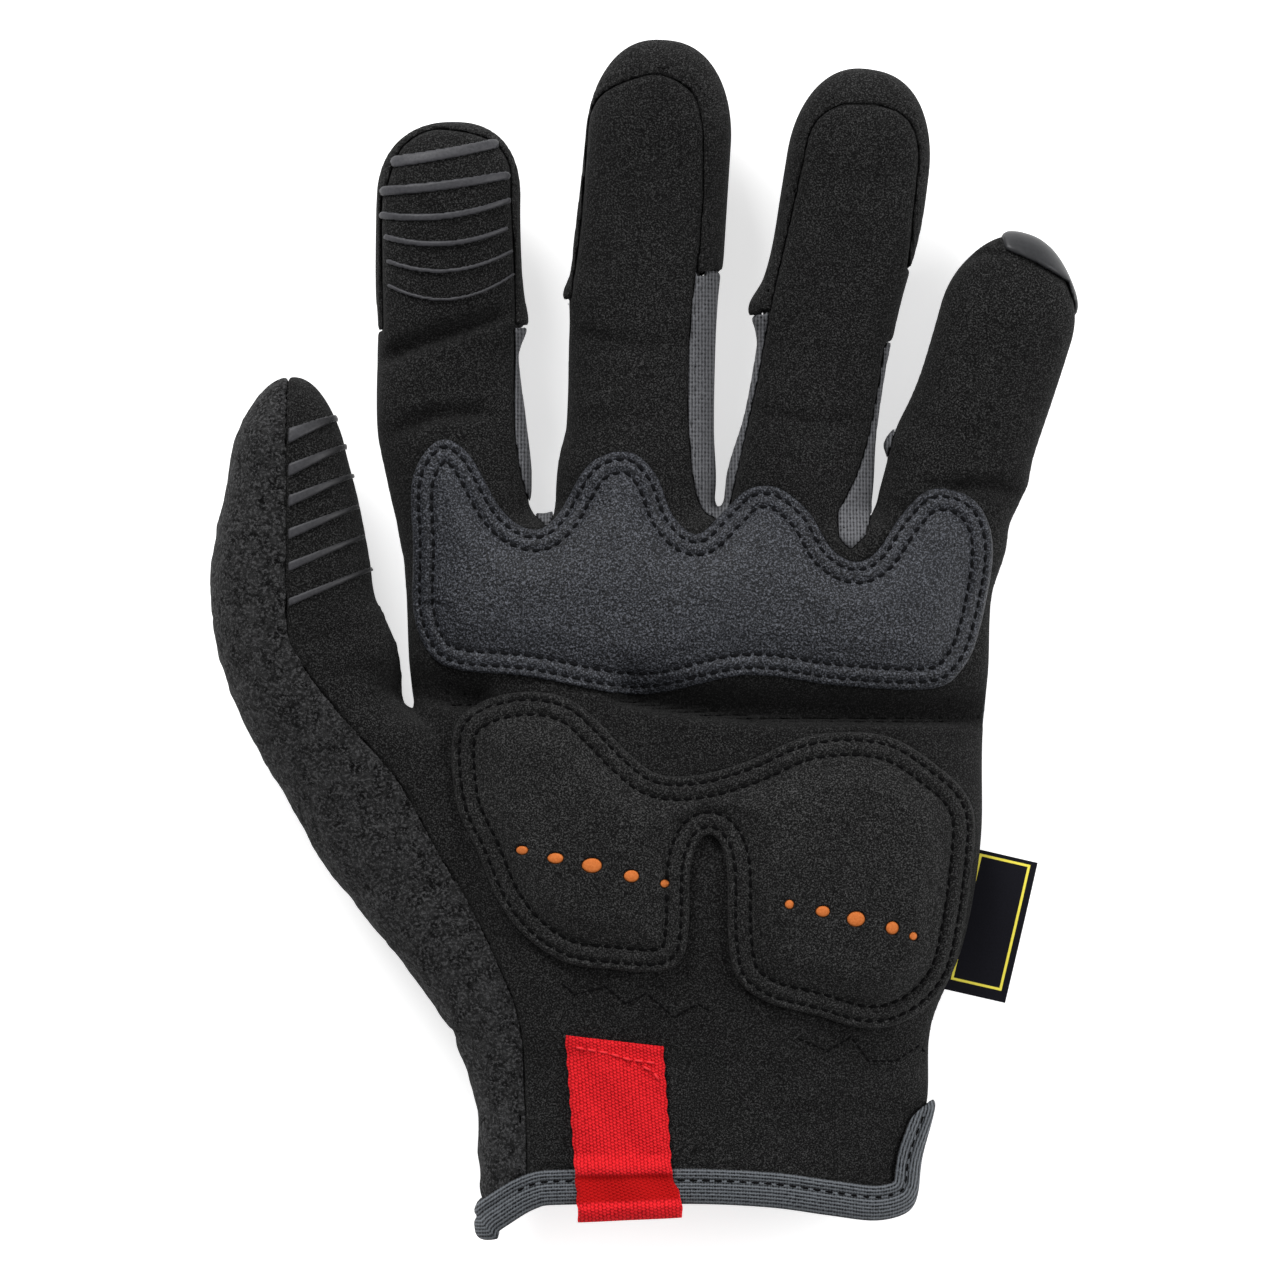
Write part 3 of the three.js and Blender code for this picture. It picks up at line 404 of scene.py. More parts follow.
WEB_RADIUS = 3.0
WEB_START = 14.0
WEB_LEAST = 0.05
THUMB_WEB_RADIUS = 1.2
RESTING_ROUNDING = 2.0


def hand_field(block):
    """The filled hand shape: the palm, with each finger growing out of it, flat where it rests."""
    palm = palm_field(block)
    hand = palm
    for finger in FINGERS:
        along = finger_axes(block, finger)[0]
        grown = smooth_step(along * finger["length"] / WEB_START)[:, :, None]
        web = WEB_LEAST + grown * (THUMB_WEB_RADIUS if finger is THUMB else WEB_RADIUS)
        hand = np.minimum(hand, soft_min(palm, finger_field(block, finger), web))
    return soft_max(hand, -block.z - 0 * hand, RESTING_ROUNDING)


# Folds pressed into the palm side: a line from left to right, the widths below and above it in which the
# skin falls in, and the depth
PALM_FOLDS = (
    (((-0.31, 0.724), (-0.232, 0.719), (-0.002, 0.703), (0.282, 0.694), (0.598, 0.693), (0.948, 0.691),
      (1.10, 0.691)), 1.7, 4.6, 6.2),
    (((-1.05, 0.733), (-0.962, 0.729), (-0.868, 0.719), (-0.768, 0.712), (-0.66, 0.712)), 1.5, 3.8, 5.0),
    (((0.30, 0.672), (0.60, 0.664), (1.05, 0.664)), 2.5, 1.4, 0.7),
    (((-0.92, 0.60), (-0.84, 0.64), (-0.76, 0.648)), 1.6, 1.6, 0.5),
    (((-0.60, 0.20), (-0.30, 0.215), (0.00, 0.205)), 3.0, 3.0, 0.5),
    (((0.20, 0.12), (0.50, 0.135), (0.85, 0.12)), 3.0, 2.0, 0.5),
    (((-1.30, 0.42), (-1.05, 0.45), (-0.86, 0.45)), 2.4, 2.4, 0.5),
)
FINGER_FOLDS = (
    (INDEX, ((-1.05, 0.495), (-0.826, 0.505), (-0.34, 0.533), (0.215, 0.559), (0.839, 0.592)), 1.3, 2.3, 2.7),
    (INDEX, ((-0.90, 0.335), (-0.705, 0.349), (-0.358, 0.369), (0.195, 0.378), (0.539, 0.371)),
     1.2, 2.2, 2.0),
    (INDEX, ((-0.85, 0.42), (-0.2, 0.435), (0.5, 0.44)), 1.6, 2.0, 0.35),
    (MIDDLE, ((-1.05, 0.46), (0.00, 0.445), (0.55, 0.46)), 2.0, 1.6, 0.8),
    (MIDDLE, ((-0.9, 0.30), (0.10, 0.315), (0.60, 0.30)), 1.6, 1.6, 0.35),
    (RING, ((-0.90, 0.33), (0.00, 0.325), (0.80, 0.34)), 2.0, 1.6, 0.7),
    (LITTLE, ((-0.30, 0.29), (0.022, 0.302), (0.425, 0.333), (0.824, 0.339), (1.10, 0.339)), 2.2, 1.3, 2.0),
    (LITTLE, ((-0.95, 0.42), (-0.30, 0.44), (0.40, 0.47)), 2.0, 2.0, 0.3),
    (LITTLE, ((-0.94, 0.84), (-0.90, 0.85), (-0.70, 0.91), (-0.449, 0.9325), (0.157, 0.935), (0.70, 0.916),
              (0.90, 0.89)), 0.55, 0.55, 0.7),
    (THUMB, ((0.05, 0.60), (0.55, 0.605), (1.15, 0.62)), 1.8, 1.8, 0.4),
    (THUMB, ((0.30, 0.54), (0.80, 0.55), (1.30, 0.555)), 1.6, 1.6, 0.5),
)
FOLD_STEPS = 16
FOLD_FADE = 5.0
FOLD_END_SHARE = 0.25
UNDULATION = 0.4
UNDULATION_SIZE = 12


def fold_depth(x, y):
    """How far the folds press the palm side in, at places of the plane."""
    pressed = 0
    lines = [(palm_line(points), *sizes) for points, *sizes in PALM_FOLDS]
    lines += [(finger_line(finger, points), *sizes) for finger, points, *sizes in FINGER_FOLDS]
    for points, below, above, depth in lines:
        line = open_curve(points, FOLD_STEPS)
        distance = line_distance(line, x, y)
        width = np.where(y < np.interp(x, line[:, 0], line[:, 1]), below, above)
        ends = smooth_step((x - line[0, 0]) / FOLD_FADE) * smooth_step((line[-1, 0] - x) / FOLD_FADE)
        share = FOLD_END_SHARE + (1 - FOLD_END_SHARE) * ends
        pressed = pressed + depth * np.exp(-((distance / width) ** 2)) * share
    return pressed


def palm_relief(block):
    """How much the palm side is pressed in, over the plane."""
    waves = UNDULATION * noise_field(block, UNDULATION_SIZE, 3)[:, :, 0]
    return (waves + fold_depth(block.x, block.y)).astype(np.float32)


def noise_field(block, size, seed):
    """Smooth random lumps of about one size, between -1 and 1."""
    chooser = np.random.default_rng(seed)
    counts = [int(n * block.step / size) + 4 for n in block.shape]
    lumps = chooser.uniform(-1, 1, counts).astype(np.float32)
    for axis, n in enumerate(block.shape):
        at = np.arange(n) * block.step / size + 0.5
        row = at.astype(int)
        t = smooth_step(at - row).astype(np.float32)
        shape = [1, 1, 1]
        shape[axis] = n
        t = t.reshape(shape)
        lumps = np.take(lumps, row, axis=axis) * (1 - t) + np.take(lumps, row + 1, axis=axis) * t
    return lumps


# Skins

CORNERS = np.array([(i, j, k) for i in (0, 1) for j in (0, 1) for k in (0, 1)])
EDGES = [(a, b) for a in range(8) for b in range(a + 1, 8)
         if np.abs(CORNERS[a] - CORNERS[b]).sum() == 1]


def skin_of(field, block):
    """Vertices and quads of the surface where a sampled field is zero, facing out."""
    inside = field < 0
    count = np.zeros(tuple(n - 1 for n in field.shape), np.int8)
    for i, j, k in CORNERS:
        count += inside[i:i + count.shape[0], j:j + count.shape[1], k:k + count.shape[2]]
    cells = np.argwhere((count > 0) & (count < 8))
    values = np.stack([field[tuple((cells + corner).T)] for corner in CORNERS], axis=1)
    total = np.zeros((len(cells), 3), np.float32)
    crossings = np.zeros((len(cells), 1), np.float32)
    for a, b in EDGES:
        va, vb = values[:, a], values[:, b]
        crosses = (va < 0) != (vb < 0)
        t = np.where(crosses, va / np.where(crosses, va - vb, 1), 0)[:, None]
        total += (CORNERS[a] + t * (CORNERS[b] - CORNERS[a])) * crosses[:, None]
        crossings += crosses[:, None]
    points = block.low + (cells + total / crossings) * block.step
    names = np.full(count.shape, -1, np.int32)
    names[tuple(cells.T)] = np.arange(len(cells), dtype=np.int32)
    quads = []
    for axis in range(3):
        one, two = (axis + 1) % 3, (axis + 2) % 3
        low = [slice(None)] * 3
        high = [slice(None)] * 3
        low[axis], high[axis] = slice(0, -1), slice(1, None)
        for side in (one, two):
            low[side] = high[side] = slice(1, -1)
        here, there = inside[tuple(low)], inside[tuple(high)]
        spots = np.argwhere(here != there)
        leaving = here[tuple(spots.T)]
        spots[:, one] += 1
        spots[:, two] += 1
        ring = []
        for shift_one, shift_two in ((-1, -1), (0, -1), (0, 0), (-1, 0)):
            cell = spots.copy()
            cell[:, one] += shift_one
            cell[:, two] += shift_two
            ring.append(names[tuple(cell.T)])
        faces = np.stack(ring, axis=1)
        faces[~leaving] = faces[~leaving][:, ::-1]
        quads.append(faces)
    return settled(points, field, block), np.concatenate(quads)


def sampled(field, block, points):
    """The field at any points, between its samples."""
    at = (points - block.low) / block.step
    row = np.clip(at.astype(int), 0, np.array(field.shape) - 2)
    t = np.clip(at - row, 0, 1)
    value = 0
    for corner in CORNERS:
        weight = np.prod(np.where(corner, t, 1 - t), axis=1)
        value = value + weight * field[tuple((row + corner).T)]
    return value


def slope_at(field, block, points):
    reach = block.step * 0.8
    slope = np.empty_like(points)
    for axis in range(3):
        shift = np.zeros(3)
        shift[axis] = reach
        slope[:, axis] = sampled(field, block, points + shift) - sampled(field, block, points - shift)
    return slope / (2 * reach)


def settled(points, field, block, turns=2):
    """Points moved onto the surface they lie near."""
    for _ in range(turns):
        slope = slope_at(field, block, points)
        steep = np.maximum((slope**2).sum(axis=1), 0.1)
        move = sampled(field, block, points)[:, None] * slope / steep[:, None]
        points = points - np.clip(move, -block.step / 2, block.step / 2)
    return points


def height_map(field, block):
    """Height of the uppermost surface over every place of the block's plane."""
    inside = field < 0
    top = field.shape[2] - 1 - np.argmax(inside[:, :, ::-1], axis=2)
    top = np.minimum(top, field.shape[2] - 2)
    i, j = np.indices(top.shape)
    low, high = field[i, j, top], field[i, j, top + 1]
    share = np.clip(low / np.minimum(low - high, -1e-6), 0, 1)
    height = block.low[2] + (top + share) * block.step
    return np.where(inside.any(axis=2), height, np.nan)


def map_at(heights, block, points):
    """A plane map at any points. Places beyond its skin take its lowest height."""
    filled = np.where(np.isnan(heights), np.nanmin(heights), heights)
    at = (np.asarray(points, float)[:, :2] - block.low[:2]) / block.step
    row = np.clip(at.astype(int), 0, np.array(heights.shape) - 2)
    t = np.clip(at - row, 0, 1)
    value = 0
    for i in (0, 1):
        for j in (0, 1):
            weight = (t[:, 0] if i else 1 - t[:, 0]) * (t[:, 1] if j else 1 - t[:, 1])
            value = value + weight * filled[row[:, 0] + i, row[:, 1] + j]
    return value


# The part's own frame: its origin is under the middle of its box

FRAME_SHIFT = np.array([-0.32, -0.50, 0.0])


def add_object(name, data):
    made = bpy.data.objects.new(name, data)
    bpy.context.scene.collection.objects.link(made)
    return made


def in_metres(points):
    return (points + FRAME_SHIFT) * METRE


def add_mesh(name, points, faces, smooth=True):
    """A mesh object from points in millimetres and an array or list of faces."""
    mesh = bpy.data.meshes.new(name)
    mesh.from_pydata(in_metres(points).tolist(), [], [list(map(int, face)) for face in faces])
    mesh.update()
    if smooth:
        mesh.shade_smooth()
    return add_object(name, mesh)


def set_points(mesh, points):
    mesh.vertices.foreach_set("co", in_metres(points).astype(np.float32).ravel())


def add_skin(name, field, block):
    """A mesh object of the surface where a field is zero, and its points."""
    points, quads = skin_of(field, block)
    mesh = bpy.data.meshes.new(name)
    mesh.vertices.add(len(points))
    set_points(mesh, points)
    mesh.loops.add(quads.size)
    mesh.loops.foreach_set("vertex_index", quads.astype(np.int32).ravel())
    mesh.polygons.add(len(quads))
    mesh.polygons.foreach_set("loop_start", np.arange(0, quads.size, 4, dtype=np.int32))
    mesh.update(calc_edges=True)
    mesh.validate()
    mesh.shade_smooth()
    return add_object(name, mesh), points


def joined(parts):
    """The points and faces of several meshes as those of one."""
    starts = np.cumsum([0] + [len(points) for points, faces in parts])
    return (np.concatenate([points for points, faces in parts]),
            np.concatenate([faces + start for (points, faces), start in zip(parts, starts)]))


def store(piece, name, values):
    """Keeps one number a vertex for the piece's finish."""
    stored = piece.data.attributes.new(name, "FLOAT", "POINT")
    stored.data.foreach_set("value", np.asarray(values, np.float32).ravel())


HIDDEN_THINNING = 0.9
SETTLING_TURNS = 8


def thin_out(piece, hidden, field, block):
    """Fewer faces on the hidden inner side of a wall. Returns the points left."""
    group = piece.vertex_groups.new(name="inner")
    group.add(np.flatnonzero(hidden).tolist(), 1.0, "REPLACE")
    modifier = piece.modifiers.new("fewer", "DECIMATE")
    modifier.ratio = 1 - HIDDEN_THINNING * float(hidden.mean())
    modifier.vertex_group = group.name
    graph = bpy.context.evaluated_depsgraph_get()
    thinned = bpy.data.meshes.new_from_object(piece.evaluated_get(graph))
    piece.modifiers.clear()
    piece.data = thinned
    piece.vertex_groups.clear()
    spots = np.empty(len(piece.data.vertices) * 3, np.float32)
    piece.data.vertices.foreach_get("co", spots)
    points = spots.reshape(-1, 3).astype(float) / METRE - FRAME_SHIFT
    off = np.flatnonzero(np.abs(sampled(field, block, points)) > block.step / 3)
    if len(off):
        points[off] = settled(points[off], field, block, SETTLING_TURNS)
        set_points(piece.data, points)
        piece.data.update()
    return points


def dress(piece, material, slot, *nodes):
    """Gives a piece its finish, hangs it from the root, and hides the frame nodes that it stands for."""
    piece.data.materials.clear()
    piece.data.materials.append(material)
    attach(piece, "root")
    if nodes:
        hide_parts(*nodes)


# Materials

class Finish:
    """Builds one node material, step by step."""

    def __init__(self, name, roughness, specular, sheen=0.0, sheen_roughness=0.5):
        self.material = bpy.data.materials.new(name)
        self.material.use_nodes = True
        self.nodes = self.material.node_tree.nodes
        self.links = self.material.node_tree.links
        self.shader = self.nodes["Principled BSDF"]
        self.shader.inputs["Roughness"].default_value = roughness
        self.shader.inputs["Sheen Weight"].default_value = sheen
        self.shader.inputs["Sheen Roughness"].default_value = sheen_roughness
        self.shader.inputs["Specular IOR Level"].default_value = specular
        self.place = self.nodes.new("ShaderNodeTexCoord").outputs["Object"]
        self.last_bump = None

    def noise(self, scale, detail, rough):
        node = self.nodes.new("ShaderNodeTexNoise")
        node.inputs["Scale"].default_value = scale
        node.inputs["Detail"].default_value = detail
        node.inputs["Roughness"].default_value = rough
        self.links.new(self.place, node.inputs["Vector"])
        return node.outputs["Fac"]

    def cells(self, scale, smoothness):
        node = self.nodes.new("ShaderNodeTexVoronoi")
        node.feature = "SMOOTH_F1"
        node.inputs["Scale"].default_value = scale
        node.inputs["Smoothness"].default_value = smoothness
        self.links.new(self.place, node.inputs["Vector"])
        return node.outputs["Distance"]

    def attribute(self, name):
        node = self.nodes.new("ShaderNodeAttribute")
        node.attribute_name = name
        return node.outputs["Fac"]

    def axis(self, name):
        """One coordinate of the place on the piece."""
        node = self.nodes.new("ShaderNodeSeparateXYZ")
        self.links.new(self.place, node.inputs[0])
        return node.outputs[name]

    def math(self, operation, one, two=0.0, three=0.0):
        node = self.nodes.new("ShaderNodeMath")
        node.operation = operation
        for socket, value in zip(node.inputs, (one, two, three)):
            if isinstance(value, (int, float)):
                socket.default_value = value
            else:
                self.links.new(value, socket)
        return node.outputs[0]

    def waves(self, value, rate):
        return self.math("SINE", self.math("MULTIPLY", value, rate))

    def ramp(self, value, *stops):
        """Colours or greys between stops of place and value."""
        node = self.nodes.new("ShaderNodeValToRGB")
        elements = node.color_ramp.elements
        while len(elements) < len(stops):
            elements.new(0.5)
        for element, (place, colour) in zip(elements, stops):
            element.position = place
            if isinstance(colour, (int, float)):
                colour = (colour, colour, colour)
            element.color = (*colour, 1)
        self.links.new(value, node.inputs["Fac"])
        return node.outputs["Color"]

    def mix(self, share, one, two, blend="MIX"):
        node = self.nodes.new("ShaderNodeMix")
        node.data_type = "RGBA"
        node.blend_type = blend
        sockets = (node.inputs[0], node.inputs[6], node.inputs[7])
        for socket, value in zip(sockets, (share, one, two)):
            if isinstance(value, (int, float)):
                socket.default_value = value
            elif isinstance(value, tuple):
                socket.default_value = (*value, 1)
            else:
                self.links.new(value, socket)
        return node.outputs[2]

    def colour(self, value):
        self.links.new(value, self.shader.inputs["Base Color"])

    def bump(self, height, strength, distance):
        """A relief of some millimetres, laid over the ones before."""
        node = self.nodes.new("ShaderNodeBump")
        node.inputs["Strength"].default_value = strength
        node.inputs["Distance"].default_value = distance * METRE
        self.links.new(height, node.inputs["Height"])
        if self.last_bump:
            self.links.new(self.last_bump, node.inputs["Normal"])
        self.last_bump = node.outputs["Normal"]
        self.links.new(self.last_bump, self.shader.inputs["Normal"])


def make_suede(name, tone):
    """Short-napped suede: a fine pale grain on black, in faint broad patches, with painted shade darkening it
    in the folds.
    """
    finish = Finish(name, 0.95, sheen=0.02, sheen_roughness=0.6, specular=0.10)
    patches = finish.ramp(finish.noise(55, 4, 0.6), (0.3, 0.8), (0.7, 1.15))
    grain = finish.noise(3100, 3, 0.75)
    base = finish.ramp(grain, (0.41, (0.0014 * tone,) * 3), (0.52, (0.0082 * tone,) * 3),
                       (0.64, (0.053 * tone,) * 3))
    patched = finish.mix(1.0, base, patches, "MULTIPLY")
    # Painted shade: the colour goes nearly black where the crease attribute says the skin is folded in
    finish.colour(finish.mix(finish.attribute("crease"), patched, (0.0008, 0.0008, 0.0008)))
    finish.bump(grain, 0.8, 0.4)
    finish.bump(finish.noise(300, 3, 0.55), 0.45, 0.6)
    return finish.material


def make_fleece():
    finish = Finish("brushed_fleece", 1.0, sheen=0.05, specular=0.06)
    clumps = finish.noise(420, 4, 0.7)
    base = finish.ramp(clumps, (0.38, (0.0020, 0.0020, 0.0021)), (0.64, (0.024, 0.024, 0.0245)))
    hairs = finish.noise(1700, 3, 0.75)
    light = finish.ramp(hairs, (0.49, 0.0), (0.62, 0.85))
    finish.colour(finish.mix(light, base, (0.072, 0.072, 0.074)))
    finish.bump(clumps, 0.9, 1.2)
    finish.bump(hairs, 0.8, 0.5)
    return finish.material


def make_pebbled():
    finish = Finish("pebbled_pad", 0.62, specular=0.25)
    pebbles = finish.cells(1500, 0.4)
    specks = finish.noise(2700, 3, 0.75)
    blotches = finish.noise(38, 3, 0.5)
    tone = finish.ramp(blotches, (0.3, (0.0034, 0.0037, 0.0050)), (0.7, (0.0080, 0.0088, 0.0115)))
    light = finish.ramp(specks, (0.49, 0.0), (0.62, 1.0))
    finish.colour(finish.mix(light, tone, (0.096, 0.102, 0.119)))
    finish.bump(pebbles, 0.7, 0.4)
    finish.bump(finish.noise(900, 3, 0.6), 0.6, 0.5)
    return finish.material


def make_knit(name, dark, light, scale):
    """Stretch knit: fine wales along the finger, with stitches across them. Its colour follows that relief,
    with painted shade in the hollows and painted highlight on the tops, over a random grain.
    """
    finish = Finish(name, 0.95, sheen=0.04, specular=0.12)
    wales = finish.waves(finish.axis("X"), scale)
    courses = finish.waves(finish.axis("Y"), scale * 0.8)
    weave = finish.math("MULTIPLY_ADD", wales, 0.36, finish.math("MULTIPLY_ADD", courses, 0.16, 0.5))
    grain = finish.noise(1800, 3, 0.6)
    height = finish.math("MULTIPLY_ADD", weave, 0.6, grain)
    # Painted shade and highlight: dark in the knit's hollows, light on its wales
    finish.colour(finish.ramp(height, (0.35, dark), (1.0, light)))
    finish.bump(height, 0.6, 0.3)
    return finish.material


RIB_SPACING = 0.68
LOOP_SPACING = 0.55


def make_binding():
    """Ribbed tape, whose ribs of small loops run along the cuff's edge. Its colour follows the ribs' relief,
    with painted shade in the grooves and painted highlight on the ribs, over a random grain.
    """
    finish = Finish("ribbed_binding", 0.95, sheen=0.04, specular=0.10)
    ribs = finish.waves(finish.attribute("across"), 2 * math.pi / RIB_SPACING)
    loops = finish.waves(finish.axis("X"), 2 * math.pi / (LOOP_SPACING * METRE))
    weave = finish.math("MULTIPLY_ADD", loops, 0.25, finish.math("MULTIPLY", ribs, 0.75))
    grain = finish.noise(2100, 3, 0.7)
    height = finish.math("MULTIPLY_ADD", finish.math("MULTIPLY_ADD", weave, 0.5, 0.5), 0.6, grain)
    # Painted shade and highlight: near black in the grooves between the ribs, light grey on their tops
    finish.colour(finish.ramp(height, (0.50, (0.002, 0.0023, 0.0030)), (1.0, (0.148, 0.160, 0.176))))
    finish.bump(height, 0.9, 0.5)
    return finish.material


def make_webbing():
    """Woven tape: columns of slanting picks, with painted highlight on them and painted shade between them;
    plain and darkened with painted shade where it turns over the cuff.
    """
    finish = Finish("red_webbing", 0.75, specular=0.07)
    columns = finish.waves(finish.attribute("side"), 2 * math.pi / WEAVE_COLUMN)
    slant = finish.math("MULTIPLY", finish.math("ABSOLUTE", columns), 1.3)
    rows = finish.math("MULTIPLY_ADD", finish.attribute("along"), 2 * math.pi / WEAVE_ROW, slant)
    turned = finish.math("MULTIPLY", finish.math("SIGN", columns), math.pi / 2)
    picks = finish.math("SINE", finish.math("ADD", rows, turned))
    weave = finish.math("MULTIPLY_ADD", picks, 0.5, finish.math("ABSOLUTE", columns))
    grain = finish.noise(1600, 3, 0.6)
    height = finish.math("MULTIPLY_ADD", weave, 0.4, grain)
    # Painted highlight and shade: the colour follows the weave's relief, bright red on the picks and dark red
    # between them, over a random grain
    base = finish.ramp(height, (0.30, (0.25, 0.0010, 0.0022)), (1.0, (0.80, 0.018, 0.025)))
    # Painted shade: the band where the tab turns down over the cuff's edge is darkened to a plain dull red
    finish.colour(finish.mix(finish.attribute("painted_shade"), base, (0.44, 0.0048, 0.0050)))
    finish.bump(height, 0.7, 0.35)
    return finish.material


def make_grip_rubber():
    """Printed rubber, that fades into the suede where a bar is worn thin."""
    finish = Finish("grip_rubber", 0.5, specular=0.3)
    grain = finish.noise(1800, 3, 0.6)
    rubber = finish.ramp(grain, (0.3, (0.028, 0.028, 0.032)), (0.75, (0.056, 0.056, 0.062)))
    fade = finish.math("MULTIPLY", finish.attribute("fade"), 1.5)
    fade.node.use_clamp = True
    finish.colour(finish.mix(fade, rubber, (0.013, 0.013, 0.013)))
    finish.bump(grain, 0.4, 0.12)
    return finish.material


def make_plain(name, colour, light, roughness, scale, relief, specular):
    """A moulded or spun surface: one colour with a fine grain."""
    finish = Finish(name, roughness, specular=specular)
    grain = finish.noise(scale, 3, 0.6)
    finish.colour(finish.ramp(grain, (0.3, colour), (0.75, light)))
    finish.bump(grain, 0.4, relief)
    return finish.material


SUEDE = make_suede("synthetic_suede", tone=1.0)
PAD_SUEDE = make_suede("pad_suede", tone=1.45)
FLEECE = make_fleece()
PEBBLED = make_pebbled()
KNIT = make_knit("side_knit", (0.005, 0.0053, 0.0060), (0.138, 0.140, 0.150), 9600)
KNIT_BACK = make_knit("back_knit", (0.010, 0.0108, 0.0125), (0.085, 0.090, 0.100), 8400)
BINDING = make_binding()
WEBBING = make_webbing()
RUBBER = make_grip_rubber()
GUARD_RUBBER = make_plain("guard_rubber", (0.016, 0.0165, 0.018), (0.026, 0.0265, 0.029),
                          roughness=0.45, scale=900, relief=0.08, specular=0.3)
FOAM = make_plain("orange_foam", (0.50, 0.125, 0.022), (0.68, 0.200, 0.050),
                  roughness=0.8, scale=2600, relief=0.15, specular=0.2)
PAD_THREAD = make_plain("pad_thread", (0.0036, 0.0038, 0.0044), (0.0095, 0.0098, 0.0112),
                        roughness=0.9, scale=5000, relief=0.05, specular=0.06)
THREAD = make_plain("black_thread", (0.0020, 0.0020, 0.0022), (0.0055, 0.0055, 0.0058),
                    roughness=0.9, scale=5000, relief=0.05, specular=0.06)
RED_THREAD = make_plain("red_thread", (0.68, 0.014, 0.020), (0.85, 0.030, 0.040),
                        roughness=0.7, scale=5000, relief=0.05, specular=0.3)
LABEL = make_plain("label_cloth", (0.0020, 0.0020, 0.0045), (0.0045, 0.0045, 0.0085),
                   roughness=0.75, scale=3000, relief=0.06, specular=0.15)
YELLOW = make_plain("label_yellow", (0.80, 0.68, 0.06), (0.88, 0.78, 0.10),
                    roughness=0.6, scale=3000, relief=0.05, specular=0.3)


# Panels of the shell

SEAM_STEPS = 48


def thumb_side(block):
    """The thumb panel's region: beside one seam on the palm side and another on the back."""
    def beside(seam):
        line = open_curve(palm_line(seam), SEAM_STEPS).tolist()
        outline = line + [(-FAR, line[-1][1]), (-FAR, line[0][1])]
        return outline_distance(outline, block.x, block.y)[:, :, None]

    below = block.z - seam_height(block.y)[:, :, None]
    front = beside(THUMB_SEAM) + 0 * block.z
    return np.minimum(front, np.maximum(beside(THUMB_BACK_SEAM), below))


CAP_REACH = 1.25
CAP_SPLIT = 0.6


def tip_cap(block, finger):
    """All of a finger tip but the palm-side panel inside its arched seam."""
    corners = ((-CAP_REACH, finger["cap_left"]), (CAP_REACH, finger["cap_right"]),
               (CAP_REACH, CAP_REACH), (-CAP_REACH, CAP_REACH))
    tip = outline_distance(finger_line(finger, corners), block.x, block.y)
    arch = open_curve(finger_line(finger, finger["arch"]), SEAM_STEPS)
    inside = outline_distance(arch, block.x, block.y)
    along = finger_axes(block, finger)[0]
    widest = smooth_column(finger["along"], finger["rise"], along) * finger["thickness"]
    split = np.maximum(seam_height(finger_point(finger, 0, 1)[1]) + 1, widest + CAP_SPLIT)
    panel = np.maximum(inside[:, :, None], split[:, :, None] - block.z)
    return np.maximum(tip[:, :, None], -panel)


STRIP_LOW = 0.30
STRIP_STEPS = 32
EDGE_STEPS = 90
EDGE_BLEND = 0.1


def strip_region(block, first, second, seam, other_seam):
    """The knit between two fingers, from one seam round their fork to the other."""
    foot = STRIP_LOW * FINGER_THICKNESS
    line = open_curve(finger_line(first, seam), STRIP_STEPS).tolist()
    line += finger_line(second, other_seam)
    sides = outline_distance(line, block.x, block.y)[:, :, None]
    return np.maximum(sides, foot - block.z)


def below_edge(block, edge):
    line = open_curve(palm_line(CUFF_EDGE + edge), EDGE_STEPS).tolist()
    outline = line + [(line[-1][0], -FAR), (line[0][0], -FAR)]
    return outline_distance(outline, block.x, block.y)


def open_end(block):
    """Distance into the glove from its cuff's edge: negative where it is cut away."""
    palm_side = below_edge(block, CUFF_EDGE_PALM_SIDE)[:, :, None]
    back = below_edge(block, CUFF_EDGE_BACK)[:, :, None]
    upper = smooth_step((block.z - seam_height(CUFF_HEIGHT)) / EDGE_BLEND + 0.5)
    return palm_side * upper + back * (1 - upper)


SEAM_ROUNDING = 0.7
PANEL_GAP = 0.12
LAP_DEPTH = 1.05
LAP_REACH = 1.4
LAP_MARGIN = 0.3
LAP_CLEARANCE = 0.2
INNER_SIDE = 0.4 * WALL
BINDING_TUCK = 2.0
FLEECE_LUMPS = 0.30
STRIP_SUNK = 0.2
# CREASE_SHADE is how dark the painted shade in the palm panel's folds gets, and CREASE_DEPTH the fold depth
# it grows over
CREASE_SHADE = 0.6
CREASE_DEPTH = 2.5
SHELL_BLOCK = ((-94, -124, -5), (96, 125, 41))


